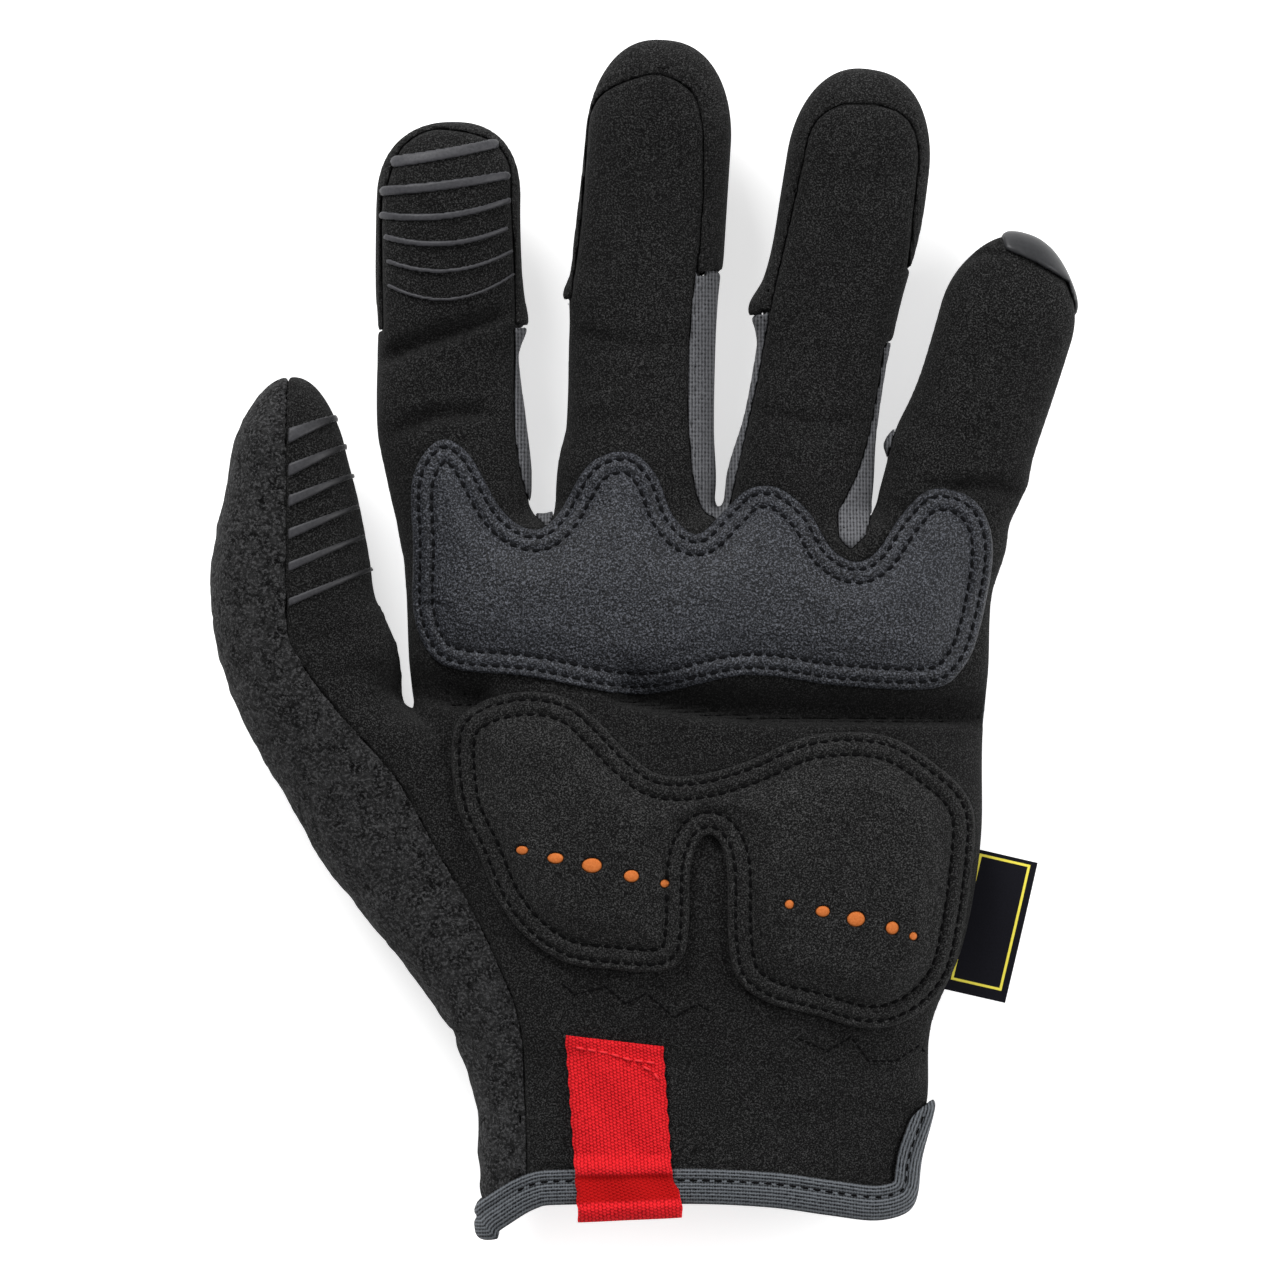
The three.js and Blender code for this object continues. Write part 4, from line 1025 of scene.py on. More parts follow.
def add_panels():
    """All panels that the seams divide the hand's skin into. Returns the palm side's heights and their block.

    At each seam the later panel laps under the earlier one, as a seam allowance does."""
    block = Block(*SHELL_BLOCK, PANEL_STEP)
    hand = pressed_hand(block)
    cuff = open_end(block)
    seams = []

    def panel(name, region, material, slot, skin=hand, last=False):
        deep = skin < -LAP_DEPTH
        lapping = region > -LAP_REACH - LAP_MARGIN
        thick = WALL if last else np.where(lapping, LAP_DEPTH - LAP_CLEARANCE, WALL)
        own = np.where(deep, region - LAP_REACH, region) if last else region
        field = soft_max(skin, own + PANEL_GAP / 2, SEAM_ROUNDING)
        field = np.maximum(field, -skin - thick)
        for other in seams:
            cut = np.where(deep, -LAP_REACH, PANEL_GAP / 2) - other
            field = soft_max(field, cut, SEAM_ROUNDING)
        field = np.maximum(field, BINDING_TUCK - cuff).astype(np.float32)
        piece, points = add_skin(name, field, block)
        left = thin_out(piece, sampled(skin, block, points) < -INNER_SIDE, field, block)
        if name == "palm_panel":
            # Painted shade in the folds: the deeper a fold presses in, the darker the palm panel's colour
            # there
            pressed = fold_depth(left[:, 0], left[:, 1])
            store(piece, "crease", CREASE_SHADE * (1 - np.exp(-pressed / CREASE_DEPTH)))
        dress(piece, material, slot, name)
        seams.append(region)

    for finger, name in ((INDEX, "index_tip_cap"), (MIDDLE, "middle_tip_cap"), (RING, "ring_tip_cap")):
        panel(name, tip_cap(block, finger), SUEDE, "suede")
    for name, first, second, seam, other_seam in STRIPS:
        region = strip_region(block, first, second, seam, other_seam)
        panel(name, region, KNIT, "knit", skin=hand + STRIP_SUNK)
    lumps = FLEECE_LUMPS * (noise_field(block, 3.4, 5) + 0.5 * noise_field(block, 1.5, 6))
    panel("thumb_panel", thumb_side(block), FLEECE, "fleece", skin=hand + lumps)
    side = seam_height(block.y)[:, :, None] - block.z + 0 * hand
    panel("palm_panel", side, SUEDE, "suede")
    panel("back_panel", -side, KNIT_BACK, "knit", last=True)
    return height_map(hand, block), block


# Layers laid on the palm side

def block_around(points, low, high, step, margin=1.5):
    points = np.asarray(points, float)
    start = points.min(axis=0) - margin
    end = points.max(axis=0) + margin
    return Block((*start, low), (*end, high), step)


FOLD_RISE = 7.0


def pressed_hand(block):
    """The hand shape with its folds, as the panels and the laid-on layers follow it."""
    upper = smooth_step((block.z - seam_height(block.y)[:, :, None]) / FOLD_RISE)
    return hand_field(block) + palm_relief(block)[:, :, None] * upper


def groove(inset, place, width, depth):
    return depth * np.exp(-(((inset - place) / width) ** 2))


INNER_LEAST = 0.94


def inner_line(outline, inset):
    """An outline moved inward, without the points that come too near another side."""
    outline = np.asarray(outline, float)
    ahead = np.roll(outline, -1, axis=0) - np.roll(outline, 1, axis=0)
    ahead /= np.linalg.norm(ahead, axis=1)[:, None]
    x, y = outline.T
    turn = 1 if (x * np.roll(y, -1) - np.roll(x, -1) * y).sum() > 0 else -1
    line = outline + turn * inset * np.stack([-ahead[:, 1], ahead[:, 0]], axis=1)
    depth = -outline_distance(outline, line[:, 0], line[:, 1])
    return line[depth > INNER_LEAST * inset]


LOOK_AHEAD = 0.3


def evenly(line, spacing, closed=True):
    """Places and directions at even steps along a line."""
    line = np.asarray(line, float)
    if closed:
        line = np.concatenate([line, line[:1]])
    reach = np.concatenate([[0], np.cumsum(np.linalg.norm(np.diff(line, axis=0), axis=1))])
    count = max(2, int(reach[-1] / spacing))
    at = (np.arange(count) + 0.5) * reach[-1] / count
    places = np.stack([np.interp(at, reach, line[:, axis]) for axis in (0, 1)], axis=1)
    ahead = np.stack([np.interp(at + LOOK_AHEAD, reach, line[:, axis]) for axis in (0, 1)], axis=1) - places
    length = np.linalg.norm(ahead, axis=1)[:, None]
    return places, ahead / np.maximum(length, 1e-6)


STITCH_SIDES = 6
STITCH_RINGS = ((-0.5, 0.30, -0.5), (-0.40, 0.85, -0.1), (0.0, 1.0, 0.35), (0.40, 0.85, -0.1),
                (0.5, 0.30, -0.5))


def ring_faces(rings, sides):
    """Faces between rings that each have as many points."""
    faces = []
    for low in range(0, (rings - 1) * sides, sides):
        high = low + sides
        for side in range(sides):
            after = (side + 1) % sides
            faces.append((low + side, low + after, high + after, high + side))
    return faces


def fan(first, sides):
    """Faces that close a ring of points."""
    return [(first, first + side, first + side + 1, first + side + 2) for side in range(1, sides - 2, 2)]


def stitch_mesh(places, ahead, heights, length, radius):
    """Threads lying on a surface: points and faces of one short rounded roll a stitch."""
    aside = np.stack([-ahead[:, 1], ahead[:, 0]], axis=1)
    points = []
    for along, thick, lift in STITCH_RINGS:
        for side in range(STITCH_SIDES):
            angle = 2 * math.pi * side / STITCH_SIDES
            plane = places + ahead * along * length + aside * math.cos(angle) * thick * radius
            z = heights + (lift + math.sin(angle) * thick) * radius
            points.append(np.column_stack([plane, z]))
    points = np.stack(points, axis=1)
    faces = [(a, d, c, b) for a, b, c, d in ring_faces(len(STITCH_RINGS), STITCH_SIDES)]
    last = (len(STITCH_RINGS) - 1) * STITCH_SIDES
    faces += fan(0, STITCH_SIDES) + [face[::-1] for face in fan(last, STITCH_SIDES)]
    every = np.asarray(faces)[None] + np.arange(len(places))[:, None, None] * points.shape[1]
    return points.reshape(-1, 3), every.reshape(-1, 4)


def add_stitches(name, lines, heights, block, spacing=2.3, length=1.75, radius=0.36,
                 material=THREAD, closed=True, lift=0.0):
    """Rows of stitches along lines, on the surface that a height map gives."""
    parts = []
    for line in lines:
        places, ahead = evenly(line, spacing, closed)
        z = map_at(heights, block, places) + lift
        parts.append(stitch_mesh(places, ahead, z, length, radius))
    dress(add_mesh(name, *joined(parts)), material, None)


RIM_STITCH = 1.6
INNER_STITCH = 4.2
PAD_STEPS = 200
KNUCKLE_EDGE = 1.25
KNUCKLE_SWELL = 1.25
KNUCKLE_SLOPE = 6.0
PAD_BACK = 0.15


def add_knuckle_pad():
    outline = closed_curve(palm_line(KNUCKLE_PAD), PAD_STEPS)
    block = block_around(outline, PAD_EDGE_HEIGHT - 2, 39, PAD_STEP)
    hand = pressed_hand(block)
    edge = outline_distance(outline, block.x, block.y)
    thick = KNUCKLE_EDGE + KNUCKLE_SWELL * smooth_step((-edge - INNER_STITCH) / KNUCKLE_SLOPE)
    thick -= groove(-edge, RIM_STITCH, 0.5, 0.50) + groove(-edge, INNER_STITCH, 0.6, 0.60)
    field = soft_max(hand - (SEAM_GAP + thick)[:, :, None], edge[:, :, None] + 0 * hand, 1.0)
    field = np.maximum(field, SEAM_GAP - hand)
    field = np.maximum(field, PAD_EDGE_HEIGHT - block.z).astype(np.float32)
    piece, points = add_skin("knuckle_pad", field, block)
    thin_out(piece, sampled(hand, block, points) < SEAM_GAP + PAD_BACK, field, block)
    dress(piece, PEBBLED, "pebbled", "knuckle_pad")
    lines = [inner_line(outline, inset) for inset in (RIM_STITCH, INNER_STITCH)]
    add_stitches("knuckle_pad_stitches", lines, height_map(field, block), block, material=PAD_THREAD)


BUTTON_SIDES = 20
BUTTON_RINGS = ((1.0, -1.6), (1.0, -0.45), (0.93, -0.22), (0.75, -0.08), (0.4, 0.0))
BUTTON_SINK = 0.1


def add_foam_buttons(crown, block):
    """The foam that swells into each punched hole."""
    last = (len(BUTTON_RINGS) - 1) * BUTTON_SIDES
    faces = np.array(ring_faces(len(BUTTON_RINGS), BUTTON_SIDES) + fan(last, BUTTON_SIDES))
    turns = np.arange(BUTTON_SIDES) * 2 * math.pi / BUTTON_SIDES
    parts = []
    for across, up, wide, high in VENT_HOLES:
        x, y = palm_point(across, up)
        top = map_at(crown, block, [(x, y)])[0]
        spots = np.array([
            (x + math.cos(turn) * share * wide / 2, y + math.sin(turn) * share * high / 2,
             top + rise - BUTTON_SINK)
            for share, rise in BUTTON_RINGS for turn in turns
        ])
        spots[:, 2] += map_at(crown, block, spots) - top
        parts.append((spots, faces))
    dress(add_mesh("palm_pad_foam_buttons", *joined(parts)), FOAM, "foam")


PALM_PAD_EDGE = 1.9
PALM_PAD_SWELL = 2.3
PALM_PAD_SLOPE = 6.5
PALM_PAD_MARGIN = 0.2
PALM_PAD_STITCH = INNER_STITCH + 0.3
PALM_PAD_LUMPS = 0.3
PALM_PAD_LEATHER = 1.5
FOAM_DEPTH = 1.7
PALM_PAD_INSIDE = 1.2
HOLE_MARGIN = 0.12
HOLE_ROUNDING = 0.4


def add_palm_pad():
    outline = closed_curve(palm_line(PALM_PAD), PAD_STEPS)
    block = block_around(outline, PAD_EDGE_HEIGHT - 2, 42, PAD_STEP)
    hand = pressed_hand(block)
    edge = outline_distance(outline, block.x, block.y)
    swelling = smooth_step((-edge - INNER_STITCH - PALM_PAD_MARGIN) / PALM_PAD_SLOPE)
    thick = PALM_PAD_EDGE + PALM_PAD_SWELL * swelling
    thick -= groove(-edge, RIM_STITCH, 0.55, 0.65) + groove(-edge, PALM_PAD_STITCH, 0.7, 0.80)
    thick += PALM_PAD_LUMPS * noise_field(block, 13, 8)[:, :, 0]
    top = hand - (SEAM_GAP + thick)[:, :, None]
    field = soft_max(top, edge[:, :, None] + 0 * hand, 1.2)
    field = np.maximum(field, SEAM_GAP - hand)
    field = np.maximum(field, PAD_EDGE_HEIGHT - block.z)
    hollow = np.maximum(top + PALM_PAD_LEATHER, edge[:, :, None] + PAD_RIM)
    field = np.maximum(field, -hollow)
    crown = height_map(field, block)
    for across, up, wide, high in VENT_HOLES:
        x, y = palm_point(across, up)
        aside = (block.x - x) / (wide / 2 + HOLE_MARGIN)
        reach = np.sqrt(aside ** 2 + ((block.y - y) / (high / 2 + HOLE_MARGIN)) ** 2)
        hole = (1 - reach) * high / 2
        field = soft_max(field, hole[:, :, None] + 0 * hand, HOLE_ROUNDING)
    field = field.astype(np.float32)
    piece, points = add_skin("palm_pad", field, block)
    thin_out(piece, sampled(top, block, points) < -PALM_PAD_INSIDE, field, block)
    dress(piece, PAD_SUEDE, "suede", "palm_pad")
    foam = np.maximum(top + FOAM_DEPTH, SEAM_GAP - hand)
    foam = np.maximum(foam, edge[:, :, None] + PAD_RIM + SEAM_GAP)
    foam = np.maximum(foam, PAD_EDGE_HEIGHT - block.z).astype(np.float32)
    core, points = add_skin("palm_pad_foam", foam, block)
    thin_out(core, np.ones(len(points), bool), foam, block)
    dress(core, FOAM, "foam", "palm_pad_foam")
    add_foam_buttons(crown, block)
    lines = [inner_line(outline, inset) for inset in (RIM_STITCH, PALM_PAD_STITCH)]
    add_stitches("palm_pad_stitches", lines, height_map(field, block), block)


# Faint zigzag stitching on the palm below the heel pad, as places on the palm
ZIGZAGS = (
    ((-0.462, 0.314), (-0.417, 0.298), (-0.315, 0.309), (-0.247, 0.285), (-0.180, 0.300), (-0.089, 0.266),
     (-0.010, 0.285), (0.030, 0.275)),
    ((0.318, 0.236), (0.363, 0.228), (0.419, 0.217), (0.498, 0.237), (0.555, 0.203), (0.645, 0.201),
     (0.724, 0.222), (0.747, 0.213)),
)


def add_zigzags():
    add_stitches("palm_zigzag_stitches", [palm_line(line) for line in ZIGZAGS], panel_heights, panel_block,
                 spacing=1.5, length=1.35, radius=0.22, closed=False)


# Grip bars and the tip guard

BAR_HEIGHT = 0.55
BAR_STEPS = 12
BAR_LIFT = 0.1
BAR_GROUND = 0.05
BAR_SEAM_GAP = 0.35
BAR_WEAR = 0.6


def bar_block(finger, bars):
    corners = []
    for along, tilt, sag, left, right, *_ in bars:
        corners.append((left, along - sag))
        corners.append((right, along + tilt))
    return block_around(finger_line(finger, corners), 8, 34, TRIM_STEP * 0.75, 3)


def add_grip_bars(digit, finger, bars):
    """One digit's bars. Their thinner right ends are lower, and their finish fades there."""
    block = bar_block(finger, bars)
    hand = pressed_hand(block)
    field = np.full(block.shape, FIELD_REACH, np.float32)
    fade = np.zeros(hand.shape[:2])
    for along, tilt, sag, left, right, thick, taper in bars:
        stops = [(left + (right - left) * s, along + tilt * s - sag * (1 - (2 * s - 1) ** 2))
                 for s in np.linspace(0, 1, BAR_STEPS)]
        line = finger_line(finger, stops)
        aside = line_distance(line, block.x, block.y)
        reach = np.clip((block.x - line[0][0]) / (line[-1][0] - line[0][0]), 0, 1)
        half = thick / 2 * (1 - (1 - taper) * reach)
        rounded = np.clip(1 - (aside / half) ** 4, 0, 1) ** 0.4
        rise = BAR_HEIGHT * rounded * (1 - BAR_WEAR * (1 - taper) * reach)
        bar = np.maximum(hand - (BAR_LIFT + rise)[:, :, None], (aside - half)[:, :, None])
        fade = np.where(aside < half + block.step, reach, fade)
        field = np.minimum(field, bar)
    field = np.maximum(field, BAR_GROUND - hand)
    field = np.maximum(field, seam_height(block.y)[:, :, None] + 1 - block.z)
    if finger is THUMB:
        field = np.maximum(field, BAR_SEAM_GAP - thumb_side(block))
    piece, points = add_skin(f"{digit}_grip_bars", field.astype(np.float32), block)
    store(piece, "fade", map_at(fade, block, points) * (1 - bars[0][-1]))
    names = [f"{digit}_grip_bar_{place + 1}" for place in range(len(bars))]
    dress(piece, RUBBER, "rubber", *names)


# The guard's outline on the palm side and on the back of the little finger
GUARD_FRONT = (
    (-0.42, 1.15), (-0.42, 0.985), (-0.31, 0.95), (0.157, 0.940), (0.70, 0.918), (0.84, 0.88),
    (1.40, 0.86), (1.40, 1.15),
)
GUARD_BACK = (
    (-0.20, 1.15), (-0.20, 0.99), (0.14, 0.965), (0.55, 0.92), (0.80, 0.84), (1.40, 0.80), (1.40, 1.15),
)
GUARD_THICKNESS = 0.9
GUARD_GAP = 0.1
GUARD_BLEND = 8.0


def add_tip_guard():
    block = block_around(finger_line(LITTLE, GUARD_BACK + GUARD_FRONT), 2, 30, TRIM_STEP, 1)
    finger = finger_field(block, LITTLE)
    finger = soft_max(finger, -block.z - 0 * finger, RESTING_ROUNDING)
    palm_side, back = (outline_distance(finger_line(LITTLE, side), block.x, block.y)[:, :, None]
                       for side in (GUARD_FRONT, GUARD_BACK))
    front = smooth_step((block.z - seam_height(block.y)[:, :, None]) / GUARD_BLEND + 0.5)
    edge = palm_side * front + back * (1 - front)
    field = soft_max(finger - GUARD_THICKNESS - GUARD_GAP, edge, 1.2)
    field = np.maximum(field, GUARD_GAP - finger)
    piece = add_skin("little_tip_guard", field.astype(np.float32), block)[0]
    dress(piece, GUARD_RUBBER, "rubber", "little_tip_guard")


# Cuff pieces

BINDING_WIDTH = 7.4
BINDING_THICKNESS = 1.1
BINDING_STITCH = 5.0
BINDING_TOP = 0.148
BINDING_BLOCK = ((-0.78, -0.075), (0.84, 0.15))
BINDING_PUFF = 0.4
BINDING_EDGE_STEPS = 160

# The binding's upper end: how it bulges about its middle, how it slants near the vent's edge, its rounding
END_BULGE = 0.15
END_MIDDLE = 2.9
END_SLANT = 1.1
END_SLANT_REACH = 2.4
END_ROUNDING = 2.2

BESIDE_LEAST = 0.96


def beside_line(line, inset):
    """A line moved to its left, without the points that come too near it again."""
    ahead = np.gradient(line, axis=0)
    ahead /= np.linalg.norm(ahead, axis=1)[:, None]
    moved = line + inset * np.stack([-ahead[:, 1], ahead[:, 0]], axis=1)
    return moved[line_distance(line, moved[:, 0], moved[:, 1]) > BESIDE_LEAST * inset]


def add_binding():
    """The tape round the cuff. It stores its distance from the edge, for the ribs that run along it."""
    block = block_around(palm_line(BINDING_BLOCK), -3, 33, TRIM_STEP * 1.1, 3)
    hand = hand_field(block)
    cuff = open_end(block)
    thick = SEAM_GAP + BINDING_THICKNESS
    puff = BINDING_PUFF * (1 - ((cuff - BINDING_WIDTH / 2) / (BINDING_WIDTH / 2)) ** 2).clip(0, 1)
    puff -= groove(cuff, BINDING_STITCH, 0.6, 0.6)
    skin = np.maximum(hand - thick - puff, -(hand + WALL + thick))
    field = soft_max(skin, -cuff + 0.2, 2.0)
    field = soft_max(field, cuff - BINDING_WIDTH, 1.2)
    channel = np.maximum(hand - SEAM_GAP, -(hand + WALL + SEAM_GAP))
    channel = np.maximum(channel, BINDING_TUCK - SEAM_GAP - cuff)
    field = np.maximum(field, -channel)
    end = block.y[:, :, None] - palm_point(0, BINDING_TOP)[1] + END_BULGE * (cuff - END_MIDDLE) ** 2
    end = end + END_SLANT * np.maximum(END_SLANT_REACH - cuff, 0)
    field = soft_max(field, end, END_ROUNDING)
    field = soft_max(field, -block.z - 0 * hand, 0.8).astype(np.float32)
    piece, points = add_skin("cuff_binding", field, block)
    store(piece, "across", sampled(cuff, block, points))
    dress(piece, BINDING, "binding", "cuff_binding")
    edge = open_curve(palm_line((CUFF_EDGE + CUFF_EDGE_PALM_SIDE)[1:-1]), BINDING_EDGE_STEPS)
    line = beside_line(edge, BINDING_STITCH)
    start_x, end_y = palm_point(-0.62, BINDING_TOP - 0.02)
    line = line[(line[:, 0] > start_x) & (line[:, 1] < end_y)]
    add_stitches("cuff_binding_stitches", [line], height_map(field, block), block,
                 spacing=2.4, length=1.7, radius=0.23, closed=False)


TAB_WIDTH = 19.2
TAB_PLACE = -0.249
TAB_LEAN = 4.0
TAB_TOP = 32.6
TAB_CREASE = 6.2
TAB_HEM = 0.5
TAB_FOLD = 3.4
TAB_INSIDE = 18.0
TAB_THICKNESS = 1.2
TAB_SKEW_TOP = 0.185
TAB_SKEW_LOW = 0.02
TAB_WAVE = 0.14
TAB_FLARE = 1.5
HIDDEN_STEP = 1.5


def tab_place(side, row):
    """Where a place on the pull tab lies on the palm."""
    lean = math.radians(TAB_LEAN)
    middle, foot = palm_point(TAB_PLACE, 0)
    upward = smooth_step((row + TAB_FOLD) / (TAB_TOP + TAB_FOLD))
    along = row - side * (TAB_SKEW_LOW + (TAB_SKEW_TOP - TAB_SKEW_LOW) * upward)
    side = side + TAB_WAVE * np.sin(row * 1.7 + side) * (np.abs(side) / TAB_WIDTH * 2) ** 4
    aside = side + TAB_FLARE * smooth_step((TAB_CREASE - row) / 6) * smooth_step(side / TAB_WIDTH + 0.5)
    return (middle + aside * math.cos(lean) - along * math.sin(lean),
            foot + aside * math.sin(lean) + along * math.cos(lean))


def tab_layer(side, rows, rise):
    """Points of one layer of the tab, which rises so high over the palm side of the shell."""
    across, along = np.meshgrid(side, rows, indexing="ij")
    x, y = tab_place(across, along)
    ground = map_at(panel_heights, panel_block, np.column_stack([x.ravel(), y.ravel()])).reshape(x.shape)
    return np.stack([x, y, ground + rise(across, along)], axis=2)


def over_binding(along):
    """0 above the binding and 1 on it, along the tab."""
    return smooth_step((TAB_CREASE + 4.0 - along) / 3.0)


def tab_rise(across, along):
    """The outer layer: up onto the binding, down between crease and hem, round at the fold."""
    drop = smooth_step((TAB_CREASE + 0.3 - along) / 1.2) * smooth_step((along - TAB_HEM) / 1.2 + 1)
    hem = np.clip((TAB_HEM - along) / (TAB_HEM + TAB_FOLD), 0, 1)
    rise = SEAM_GAP + TAB_THICKNESS + 1.9 * over_binding(along) - 0.9 * drop
    rise = rise - 2.6 * (1 - np.sqrt(np.maximum(1 - hem**2, 0)))
    edge = TAB_WIDTH / 2 - np.abs(across)
    rise = rise - 0.5 * np.exp(-((edge / 0.5) ** 2)) - 0.35 * np.exp(-(((TAB_TOP - along) / 0.6) ** 2))
    return rise + 0.22 * np.sin(across * 0.5 + along * 0.32)


def add_pull_tab():
    """Webbing on the palm, stepping over the binding and folded round the cuff's edge."""
    side = np.arange(-TAB_WIDTH / 2, TAB_WIDTH / 2 + 0.01, TAB_STEP)
    under = -(WALL + SEAM_GAP + BINDING_THICKNESS + 0.9)
    rows = (
        np.arange(TAB_TOP, -TAB_FOLD, -TAB_STEP),
        np.arange(-TAB_FOLD + TAB_STEP, TAB_INSIDE, HIDDEN_STEP),
        np.arange(TAB_INSIDE - 0.01, -TAB_FOLD + 1.6, -HIDDEN_STEP),
        np.arange(-TAB_FOLD + 1.6, TAB_TOP, HIDDEN_STEP),
    )
    rises = (
        tab_rise,
        lambda across, along: under - TAB_THICKNESS,
        lambda across, along: under,
        lambda across, along: SEAM_GAP + 1.6 * over_binding(along),
    )
    loop = np.concatenate([tab_layer(side, line, rise) for line, rise in zip(rows, rises)], axis=1)
    count, around = loop.shape[:2]
    index = np.arange(count * around).reshape(count, around)
    ahead = np.roll(index, -1, axis=1)
    faces = np.stack([index[:-1], ahead[:-1], ahead[1:], index[1:]], axis=2).reshape(-1, 4)
    piece = add_mesh("pull_tab", loop.reshape(-1, 3), faces)
    along = np.concatenate(rows)[None, :] + np.zeros((count, 1))
    # Painted shade on the outer layer between the crease and the hem, where the tab turns down over the
    # binding
    band = smooth_step((TAB_CREASE - along) / 0.5) * smooth_step((along - TAB_HEM) / 0.5)
    store(piece, "painted_shade", band * (np.arange(around) < len(rows[0])))
    store(piece, "side", side[:, None] + 0 * along)
    store(piece, "along", along)
    fill_ends(piece)
    dress(piece, WEBBING, "webbing", "pull_tab")
    half = TAB_WIDTH / 2
    seams = (
        ((-half + 1.6, 2.2), (-1.5, 2.6), (2.5, 3.4), (half - 1.6, 3.6)),
        ((half - 4.6, 4.4), (half - 2.2, 5.4), (half - 1.2, 7.4)),
    )
    lines = [[tab_place(across, TAB_TOP - down) for across, down in seam] for seam in seams]
    add_stitches("pull_tab_stitches", lines, panel_heights, panel_block, spacing=2.1, length=1.7,
                 radius=0.28, material=RED_THREAD, closed=False, lift=SEAM_GAP + TAB_THICKNESS + 0.2)


def fill_ends(piece):
    """Closes the open side edges of a strip."""
    work = bmesh.new()
    work.from_mesh(piece.data)
    rim = [edge for edge in work.edges if len(edge.link_faces) == 1]
    bmesh.ops.holes_fill(work, edges=rim, sides=0)
    bmesh.ops.triangulate(work, faces=[face for face in work.faces if len(face.verts) > 4])
    bmesh.ops.recalc_face_normals(work, faces=work.faces)
    work.to_mesh(piece.data)
    work.free()


LABEL_CORNER = (0.925, 0.5015)
LABEL_LEAN = 13.0
LABEL_WIDTH = 12.2
LABEL_LENGTH = 28.8
LABEL_THICKNESS = 0.8
LABEL_SEWN = 1.6
FRAME_LINE = 0.5


def label_place(out, down):
    """Where a place on the label lies: so far out of the seam and down from the label's corner."""
    lean = math.radians(LABEL_LEAN)
    x, y = palm_point(*LABEL_CORNER)
    return (x + out * math.cos(lean) - down * math.sin(lean),
            y - out * math.sin(lean) - down * math.cos(lean))


def label_height(out, down):
    base = seam_height(palm_point(0, LABEL_CORNER[1])[1]) + SEAM_GAP
    wave = 0.9 * np.sin(down / LABEL_LENGTH * 3.6 + 0.4) * out / LABEL_WIDTH
    return base + wave - 0.6 * (out / LABEL_WIDTH) ** 2


def label_sheet(out_low, out_high, down_low, down_high, low, high):
    """Points and faces of a flat-edged sheet that follows the label's waves."""
    outs = np.linspace(out_low, out_high, max(2, int((out_high - out_low) / LABEL_STEP) + 1))
    downs = np.linspace(down_low, down_high, max(2, int((down_high - down_low) / LABEL_STEP) + 1))
    out, down = np.meshgrid(outs, downs, indexing="ij")
    x, y = label_place(out, down)
    z = label_height(out, down)
    top = np.stack([x, y, z + high], axis=2).reshape(-1, 3)
    bottom = np.stack([x, y, z + low], axis=2).reshape(-1, 3)
    rows, columns = out.shape
    index = np.arange(rows * columns).reshape(rows, columns)
    upper = np.stack([index[:-1, :-1], index[:-1, 1:], index[1:, 1:], index[1:, :-1]], axis=2).reshape(-1, 4)
    lower = upper[:, ::-1] + rows * columns
    rim = np.concatenate([index[:, 0], index[-1, 1:], index[-2::-1, -1], index[0, -2:0:-1]])
    after = np.roll(rim, -1)
    sides = np.stack([rim, rim + rows * columns, after + rows * columns, after], axis=1)
    return np.concatenate([top, bottom]), np.concatenate([upper[:, ::-1], lower[:, ::-1], sides])


def add_side_label():
    sheet = label_sheet(-LABEL_SEWN, LABEL_WIDTH, 0, LABEL_LENGTH, 0, LABEL_THICKNESS)
    dress(add_mesh("side_label", *sheet, smooth=False), LABEL, "label", "side_label")
    low_out, high_out = 0.5, LABEL_WIDTH - 1.3
    low_down, high_down = 0.75, LABEL_LENGTH - 2.2
    top = LABEL_THICKNESS + 0.04
    strips = (
        (low_out, high_out, low_down, low_down + FRAME_LINE),
        (low_out, high_out, high_down - FRAME_LINE, high_down),
        (low_out, low_out + FRAME_LINE, low_down + FRAME_LINE, high_down - FRAME_LINE),
        (high_out - FRAME_LINE, high_out, low_down + FRAME_LINE, high_down - FRAME_LINE),
    )
    parts = [label_sheet(*strip, LABEL_THICKNESS - 0.1, top) for strip in strips]
    dress(add_mesh("side_label_frame", *joined(parts), smooth=False), YELLOW, "label")


# The scene around the glove

VIEW_WIDTH = 256.8
CAMERA_HEIGHT = 1.8
FOCUS_HEIGHT = 0.014
SENSOR = 36.0
FLOOR_REACH = 3.0
FLOOR_GLOW = 0.6
WORLD_LIGHT = 0.42


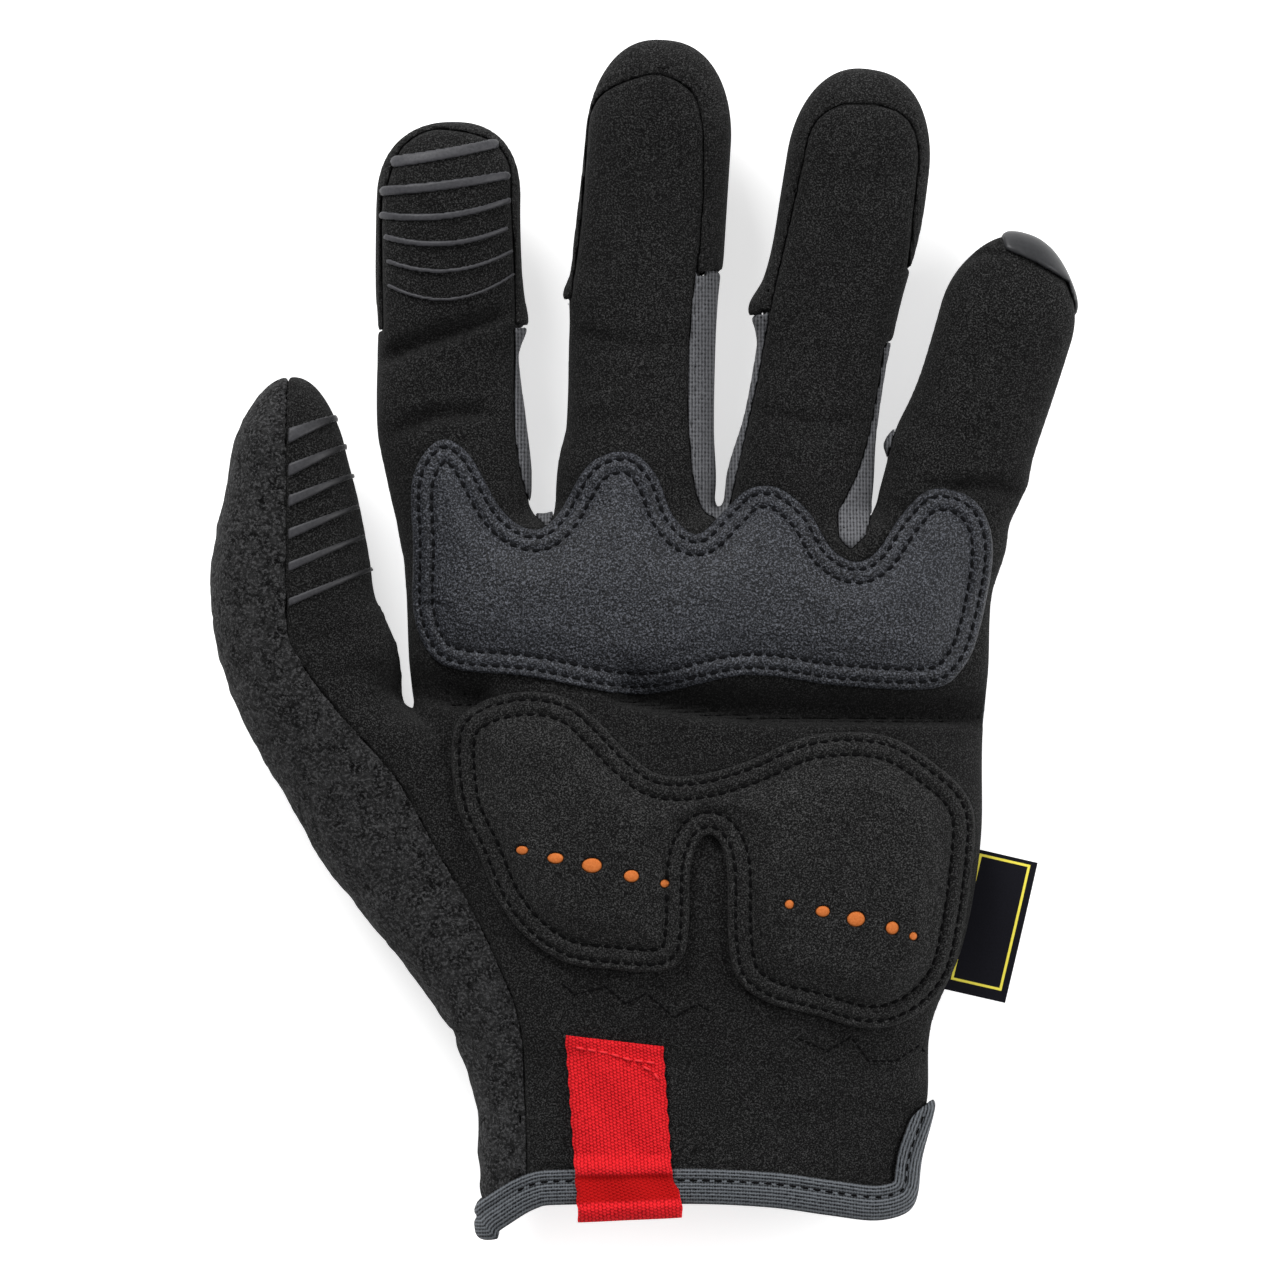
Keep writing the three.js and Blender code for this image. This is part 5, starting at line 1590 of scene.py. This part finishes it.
def add_camera():
    lens = bpy.data.cameras.new("photo_camera")
    lens.sensor_width = SENSOR
    lens.lens = SENSOR * (CAMERA_HEIGHT - FOCUS_HEIGHT) / (VIEW_WIDTH * METRE)
    camera = add_object("photo_camera", lens)
    camera.location = (FRAME_SHIFT[0] * METRE, (FRAME_SHIFT[1] + 0.2) * METRE, CAMERA_HEIGHT)
    bpy.context.scene.camera = camera


def add_light(name, place, size, power):
    lamp = bpy.data.lights.new(name, "AREA")
    lamp.size = size
    lamp.energy = power
    light = add_object(name, lamp)
    light.location = place
    aim = -light.location.normalized()
    light.rotation_euler = aim.to_track_quat("-Z", "Y").to_euler()


def add_stage():
    corners = np.array([(-1, -1, 0), (1, -1, 0), (1, 1, 0), (-1, 1, 0)]) * FLOOR_REACH
    floor = add_mesh("floor", corners / METRE - FRAME_SHIFT, [(0, 1, 2, 3)], smooth=False)
    pale = bpy.data.materials.new("pale_floor")
    pale.use_nodes = True
    shader = pale.node_tree.nodes["Principled BSDF"]
    shader.inputs["Base Color"].default_value = (0.93, 0.93, 0.93, 1)
    shader.inputs["Roughness"].default_value = 0.9
    shader.inputs["Specular IOR Level"].default_value = 0.2
    shader.inputs["Emission Color"].default_value = (1, 1, 1, 1)
    shader.inputs["Emission Strength"].default_value = FLOOR_GLOW
    floor.data.materials.append(pale)
    world = bpy.data.worlds.new("studio")
    world.use_nodes = True
    background = world.node_tree.nodes["Background"]
    background.inputs["Color"].default_value = (1, 1, 1, 1)
    background.inputs["Strength"].default_value = WORLD_LIGHT
    bpy.context.scene.world = world
    add_light("key", (-0.7, 1.5, 1.05), 0.8, 34)
    add_light("fill", (1.3, 0.2, 1.0), 0.8, 14)
    bpy.context.scene.view_settings.view_transform = "Standard"


panel_heights, panel_block = add_panels()
add_knuckle_pad()
add_palm_pad()
add_zigzags()
add_grip_bars("index", INDEX, INDEX_BARS)
add_grip_bars("thumb", THUMB, THUMB_BARS)
add_tip_guard()
add_binding()
add_pull_tab()
add_side_label()
add_camera()
add_stage()
